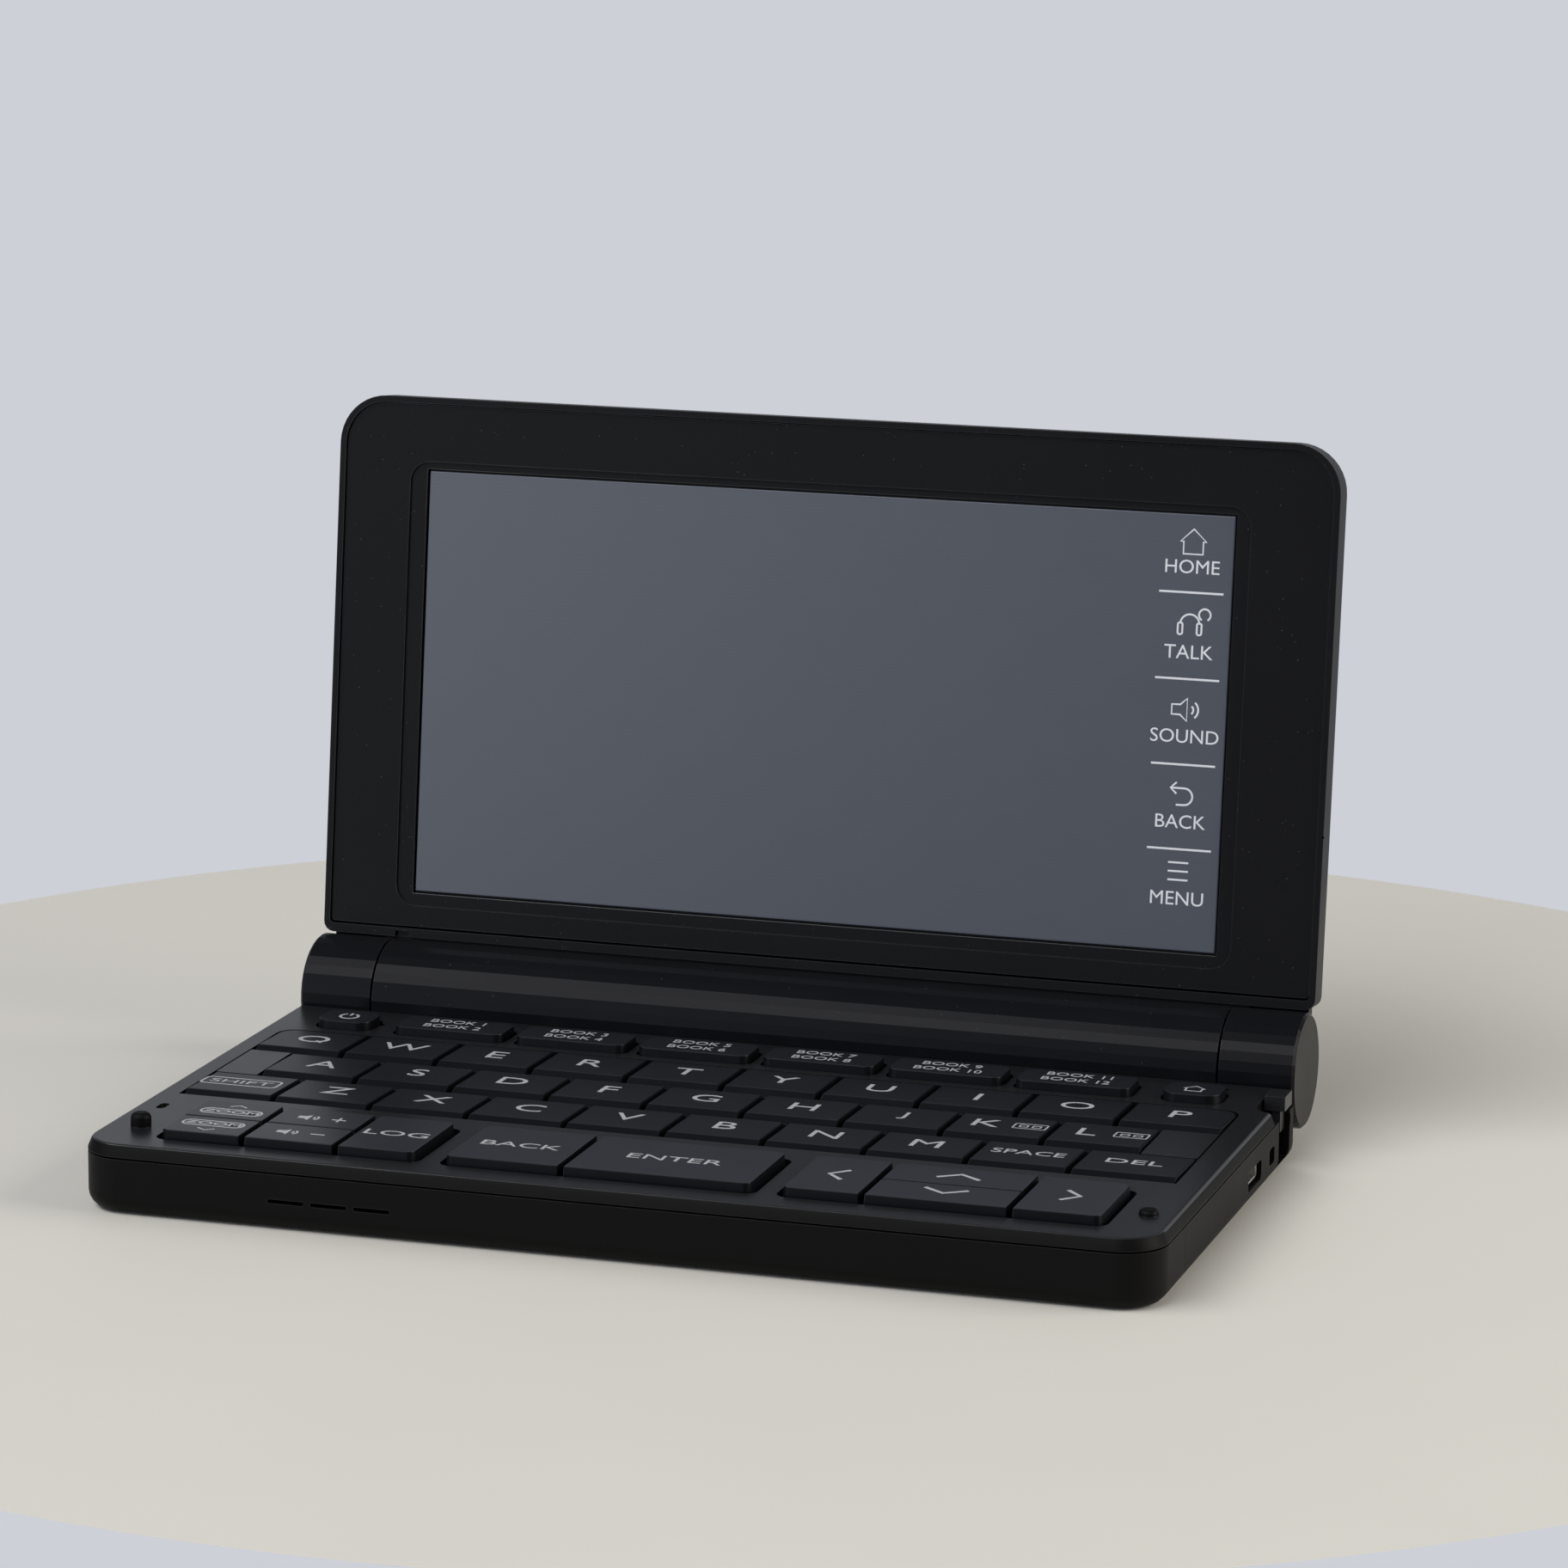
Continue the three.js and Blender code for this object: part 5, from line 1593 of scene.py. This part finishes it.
class DICTIONARY_OT_screen_surround(bpy.types.Operator):
    """Build the screen surround with its recessed step"""

    bl_idname = "dictionary.screen_surround"
    bl_label = "Screen Surround"

    def execute(self, context):
        low, high = lid_box("lid_bezel")
        grow = FIT - SURROUND_FIT
        low -= Vector((grow, 0, 0))
        high += Vector((grow, 0, grow))
        corner = sizes().lid_corner - LID_WALL - SURROUND_FIT
        plate = lid_block("screen_surround", low, high, corner, INNER_LOW_CORNER, sizes().corner_steps)
        ledge = low.y + STEP_DEPTH
        step_low = (STEP_LEFT, low.y - OVERRUN, STEP_LOW)
        step_high = (STEP_RIGHT, ledge, STEP_HIGH)
        cut(plate, lid_block("step", step_low, step_high, STEP_CORNER, STEP_CORNER, steps=8))
        cut_block(plate, (WINDOW_LEFT, -high.y, WINDOW_LOW), (WINDOW_RIGHT, high.y + OVERRUN, WINDOW_HIGH))
        clean(plate)
        at_sill = lambda point: near(point.y, ledge) and in_window(point.x, point.z, WELD)
        round_edges(plate, lambda a, b: at_sill(a) and at_sill(b), WINDOW_CHAMFER, steps=3)
        soften(plate, FINE_EDGE)
        coat_faces(coat(plate, lid_finish), polished_edge, lambda face: slopes_to_window(face, ledge))
        into_lid(plate)
        finish_piece(plate, "lid", ["lid_bezel"])
        return {"FINISHED"}


def headphones(width, line_width):
    """Headphones with a speech bubble."""
    half = width / 2
    pieces = [drawn_line(arc((0, 0), half * 0.62, 0, 180, 12), line_width)]
    for side in (-1, 1):
        cup = drawn_line(frame_points(half * 0.3, half * 0.75, half * 0.12), line_width, closed=True)
        pieces += placed([cup], side * half * 0.62, -half * 0.3)
    bubble = drawn_line(arc((half * 0.95, half * 0.62), half * 0.38, -60, 240, 14), line_width)
    return pieces + [bubble]


def return_arrow(width, line_width):
    """An arrow that turns back to the left."""
    half = width / 2
    bend = arc((half * 0.2, -half * 0.1), half * 0.62, 90, -90, 10)
    shaft = [(-half * 0.8, half * 0.52), *bend, (-half * 0.4, -half * 0.72)]
    head = [(-half * 0.4, half * 0.95), (-half * 0.85, half * 0.52), (-half * 0.4, half * 0.1)]
    return [drawn_line(shaft, line_width), drawn_line(head, line_width)]


def menu_bars(width, line_width):
    """Three level bars."""
    bars = []
    for row in (-1, 0, 1):
        bars += placed([drawn_line([(-width / 2, 0), (width / 2, 0)], line_width)], 0, row * width * 0.42)
    return bars


def screen_marks(face):
    """The five printed symbols, their words and the lines between them."""
    line = sizes().screen_line_width
    facing_front = math.pi / 2
    pieces = []
    drawings = [
        house(*SCREEN_HOUSE, line),
        headphones(HEADPHONES_WIDTH, line),
        loudspeaker(LOUDSPEAKER_WIDTH, line, LOUDSPEAKER_WAVES),
        return_arrow(RETURN_ARROW_WIDTH, line),
        menu_bars(MENU_WIDTH, line),
    ]
    for drawing, (word, (height, word_height)) in zip(drawings, SCREEN_WORDS.items()):
        pieces += placed(drawing, MARK_COLUMN, face, height, facing_front)
        caption = [lettering(word, *SCREEN_LETTERING)]
        pieces += placed(caption, MARK_COLUMN, face, word_height, facing_front)
    for height in SEPARATOR_HEIGHTS:
        separator = drawn_line([(-SEPARATOR_HALF, 0), (SEPARATOR_HALF, 0)], line * SEPARATOR_WEIGHT)
        pieces += placed([separator], MARK_COLUMN, face, height, facing_front)
    return pieces


class DICTIONARY_OT_screen(bpy.types.Operator):
    """Build the screen with the symbols printed along its right side"""

    bl_idname = "dictionary.screen"
    bl_label = "Screen"

    def execute(self, context):
        low, high = lid_box("display_panel")
        glass_low = (WINDOW_LEFT + KEY_FIT, low.y, WINDOW_LOW + KEY_FIT)
        glass_high = (WINDOW_RIGHT - KEY_FIT, low.y + GLASS_THICKNESS, WINDOW_HIGH - KEY_FIT)
        glass = block("glass", glass_low, glass_high)
        soften(glass, GLASS_EDGE, steps=4)
        module = block("module", (low.x, low.y + GLASS_THICKNESS - INK_RISE, low.z), high)
        soften(module, MODULE_EDGE)
        coat(glass, screen_glass)
        coat(module, speaker_finish)
        marks = [coat(mark, screen_ink) for mark in screen_marks(low.y)]
        screen = join([glass, module, *marks], "screen_glass_and_module")
        into_lid(screen)
        finish_piece(screen, "lid", ["display_panel"])
        return {"FINISHED"}


class DICTIONARY_OT_stylus(bpy.types.Operator):
    """Dress the stylus"""

    bl_idname = "dictionary.stylus"
    bl_label = "Stylus"

    def execute(self, context):
        stylus = coat(refined_copy("stylus", "stylus_pen", STYLUS_EDGE, smooth=35), deck_finish)
        finish_piece(stylus, "stylus", ["stylus"])
        return {"FINISHED"}


class DICTIONARY_OT_inner_parts(bpy.types.Operator):
    """Give the parts inside the base their materials"""

    bl_idname = "dictionary.inner_parts"
    bl_label = "Inner Parts"

    def execute(self, context):
        finishes = {
            "key_mat": rubber_finish,
            "circuit_board": board_lacquer,
            "speaker": speaker_finish,
            "battery_1": cell_sleeve,
            "battery_2": cell_sleeve,
        }
        for name, paint in finishes.items():
            for slot in nodes[name].material_slots:
                slot.material = finish(paint)
        return {"FINISHED"}


# Studio
def studio_camera():
    """The camera at the photo's place."""
    camera = fresh(bpy.ops.object.camera_add, "photo_camera", location=CAMERA_PLACE)
    camera.data.lens = PHOTO_LENS
    camera.data.sensor_width = SENSOR_WIDTH
    camera.data.clip_start = NEAREST_SEEN
    camera.data.clip_end = FARTHEST_SEEN
    ahead = Vector((
        -math.sin(CAMERA_AZIMUTH) * math.cos(CAMERA_TILT),
        math.cos(CAMERA_AZIMUTH) * math.cos(CAMERA_TILT),
        -math.sin(CAMERA_TILT),
    ))
    level_right = Vector((math.cos(CAMERA_AZIMUTH), math.sin(CAMERA_AZIMUTH), 0))
    straight_up = level_right.cross(ahead)
    right = level_right * math.cos(CAMERA_ROLL) + straight_up * math.sin(CAMERA_ROLL)
    up = straight_up * math.cos(CAMERA_ROLL) - level_right * math.sin(CAMERA_ROLL)
    camera.rotation_euler = Matrix((right, up, -ahead)).transposed().to_euler()
    bpy.context.scene.camera = camera


def choose(tree, share, first, second, output):
    """Sends one of two shaders to an output of the tree."""
    choice = shader_node(tree, "MixShader", fac=share)
    feed(tree, choice.inputs[1], first)
    feed(tree, choice.inputs[2], second)
    feed(tree, tree.nodes[output].inputs["Surface"], choice.outputs["Shader"])


def floor_paint(tree, shader, place):
    """Pale laminate, clear from below and where something touches it, so that the underside can be seen."""
    colour = colours().floor
    grain = placed_group(tree, "Moulded grain", place, grain_size=0.8 * MM)
    feed(tree, shader.inputs["Base Color"], mixed(tree, grain["Mottle"], colour, scaled(colour, 0.96)))
    shader.inputs["Roughness"].default_value = 0.6
    side = shader_node(tree, "NewGeometry")
    path = shader_node(tree, "LightPath")
    touching = math_node(tree, "LESS_THAN", path.outputs["Ray Length"], FLOOR_CONTACT)
    unseen = math_node(tree, "SUBTRACT", touching, path.outputs["Is Camera Ray"])
    share = math_node(tree, "MAXIMUM", side.outputs["Backfacing"], unseen)
    clear = shader_node(tree, "BsdfTransparent")
    choose(tree, share, shader.outputs["BSDF"], clear.outputs["BSDF"], "Material Output")


def studio_floor():
    """A round pale floor whose far edge lies where the photo shows it."""
    size = {"vertices": FLOOR_FACETS, "radius": FLOOR_RADIUS, "fill_type": "NGON"}
    floor = settle(fresh(bpy.ops.mesh.primitive_circle_add, "floor", location=FLOOR_PLACE, **size))
    coat(floor, floor_paint)


def soft_light(name, place, width, depth, power, colour):
    """An area light that looks at the object, its width in the plane through the object and the zenith."""
    light = fresh(bpy.ops.object.light_add, name, type="AREA", location=place)
    light.data.shape = "RECTANGLE"
    light.data.size = width
    light.data.size_y = depth
    light.data.energy = power
    light.data.color = colour
    light.rotation_euler = (LIGHT_TARGET - Vector(place)).to_track_quat("-Z", "X").to_euler()


def studio_world():
    """A pale surround for the camera, and for the object dim walls with a rear wall and a bright window."""
    world = bpy.data.worlds.new("studio_surround")
    bpy.context.scene.world = world
    world.use_nodes = True
    tree = world.node_tree
    light = tree.nodes["Background"]
    light.inputs["Strength"].default_value = 1
    seen = shader_node(tree, "Background", color=(*colours().backdrop, 1))
    way = shader_node(tree, "TexCoord").outputs["Generated"]
    across, ahead, up = shader_node(tree, "SeparateXYZ", vector=way).outputs
    tone = mixed(tree, between(tree, ahead, *WALLS_SPREAD), FRONT_WALL_COLOUR, BACK_WALL_COLOUR)
    below_top = between(tree, up, *CEILING_SPREAD)
    rear_wall = times(tree, between(tree, ahead, *REAR_WALL_SPREAD), below_top)
    tone = mixed(tree, rear_wall, tone, REAR_WALL_COLOUR)
    side = between(tree, across, *WINDOW_SIDE_SPREAD)
    window = times(tree, side, between(tree, ahead, *WINDOW_FRONT_SPREAD))
    window = times(tree, times(tree, window, between(tree, up, *WINDOW_SILL_SPREAD)), below_top)
    feed(tree, light.inputs["Color"], mixed(tree, window, tone, WINDOW_COLOUR))
    share = shader_node(tree, "LightPath").outputs["Is Camera Ray"]
    choose(tree, share, light.outputs["Background"], seen.outputs["Background"], "World Output")


class DICTIONARY_OT_studio(bpy.types.Operator):
    """Build the floor, the lights and the camera"""

    bl_idname = "dictionary.studio"
    bl_label = "Studio"

    def execute(self, context):
        context.scene.view_settings.view_transform = "Standard"
        studio_camera()
        studio_floor()
        studio_world()
        soft_light("key_light", *KEY_LIGHT)
        soft_light("side_light", *SIDE_LIGHT)
        return {"FINISHED"}


OPERATORS = (
    DICTIONARY_OT_studio,
    DICTIONARY_OT_inner_parts,
    DICTIONARY_OT_lower_case,
    DICTIONARY_OT_keyboard_deck,
    DICTIONARY_OT_letter_keys,
    DICTIONARY_OT_top_keys,
    DICTIONARY_OT_front_keys,
    DICTIONARY_OT_battery_barrel,
    DICTIONARY_OT_hinge_knuckles,
    DICTIONARY_OT_lid_shell,
    DICTIONARY_OT_screen_surround,
    DICTIONARY_OT_screen,
    DICTIONARY_OT_stylus,
)


class DICTIONARY_PT_looks(bpy.types.Panel):
    """Sidebar panel with the settings and the building steps"""

    bl_label = "Electronic Dictionary"
    bl_idname = "DICTIONARY_PT_looks"
    bl_space_type = "VIEW_3D"
    bl_region_type = "UI"
    bl_category = "Dictionary"

    def draw(self, context):
        for settings in (context.scene.dictionary_sizes, context.scene.dictionary_colours):
            box = self.layout.box()
            for name in settings.__annotations__:
                box.prop(settings, name)
        column = self.layout.column(align=True)
        for operator in OPERATORS:
            column.operator(operator.bl_idname)


CLASSES = (DictionarySizes, DictionaryColours, *OPERATORS, DICTIONARY_PT_looks)


def register():
    for item in CLASSES:
        bpy.utils.register_class(item)
    bpy.types.Scene.dictionary_sizes = PointerProperty(type=DictionarySizes)
    bpy.types.Scene.dictionary_colours = PointerProperty(type=DictionaryColours)


def unregister():
    del bpy.types.Scene.dictionary_colours
    del bpy.types.Scene.dictionary_sizes
    for item in reversed(CLASSES):
        bpy.utils.unregister_class(item)


def main():
    register()
    bpy.ops.object.select_all(action="DESELECT")
    for operator in OPERATORS:
        group, name = operator.bl_idname.split(".")
        getattr(getattr(bpy.ops, group), name)()


if __name__ == "__main__":
    main()
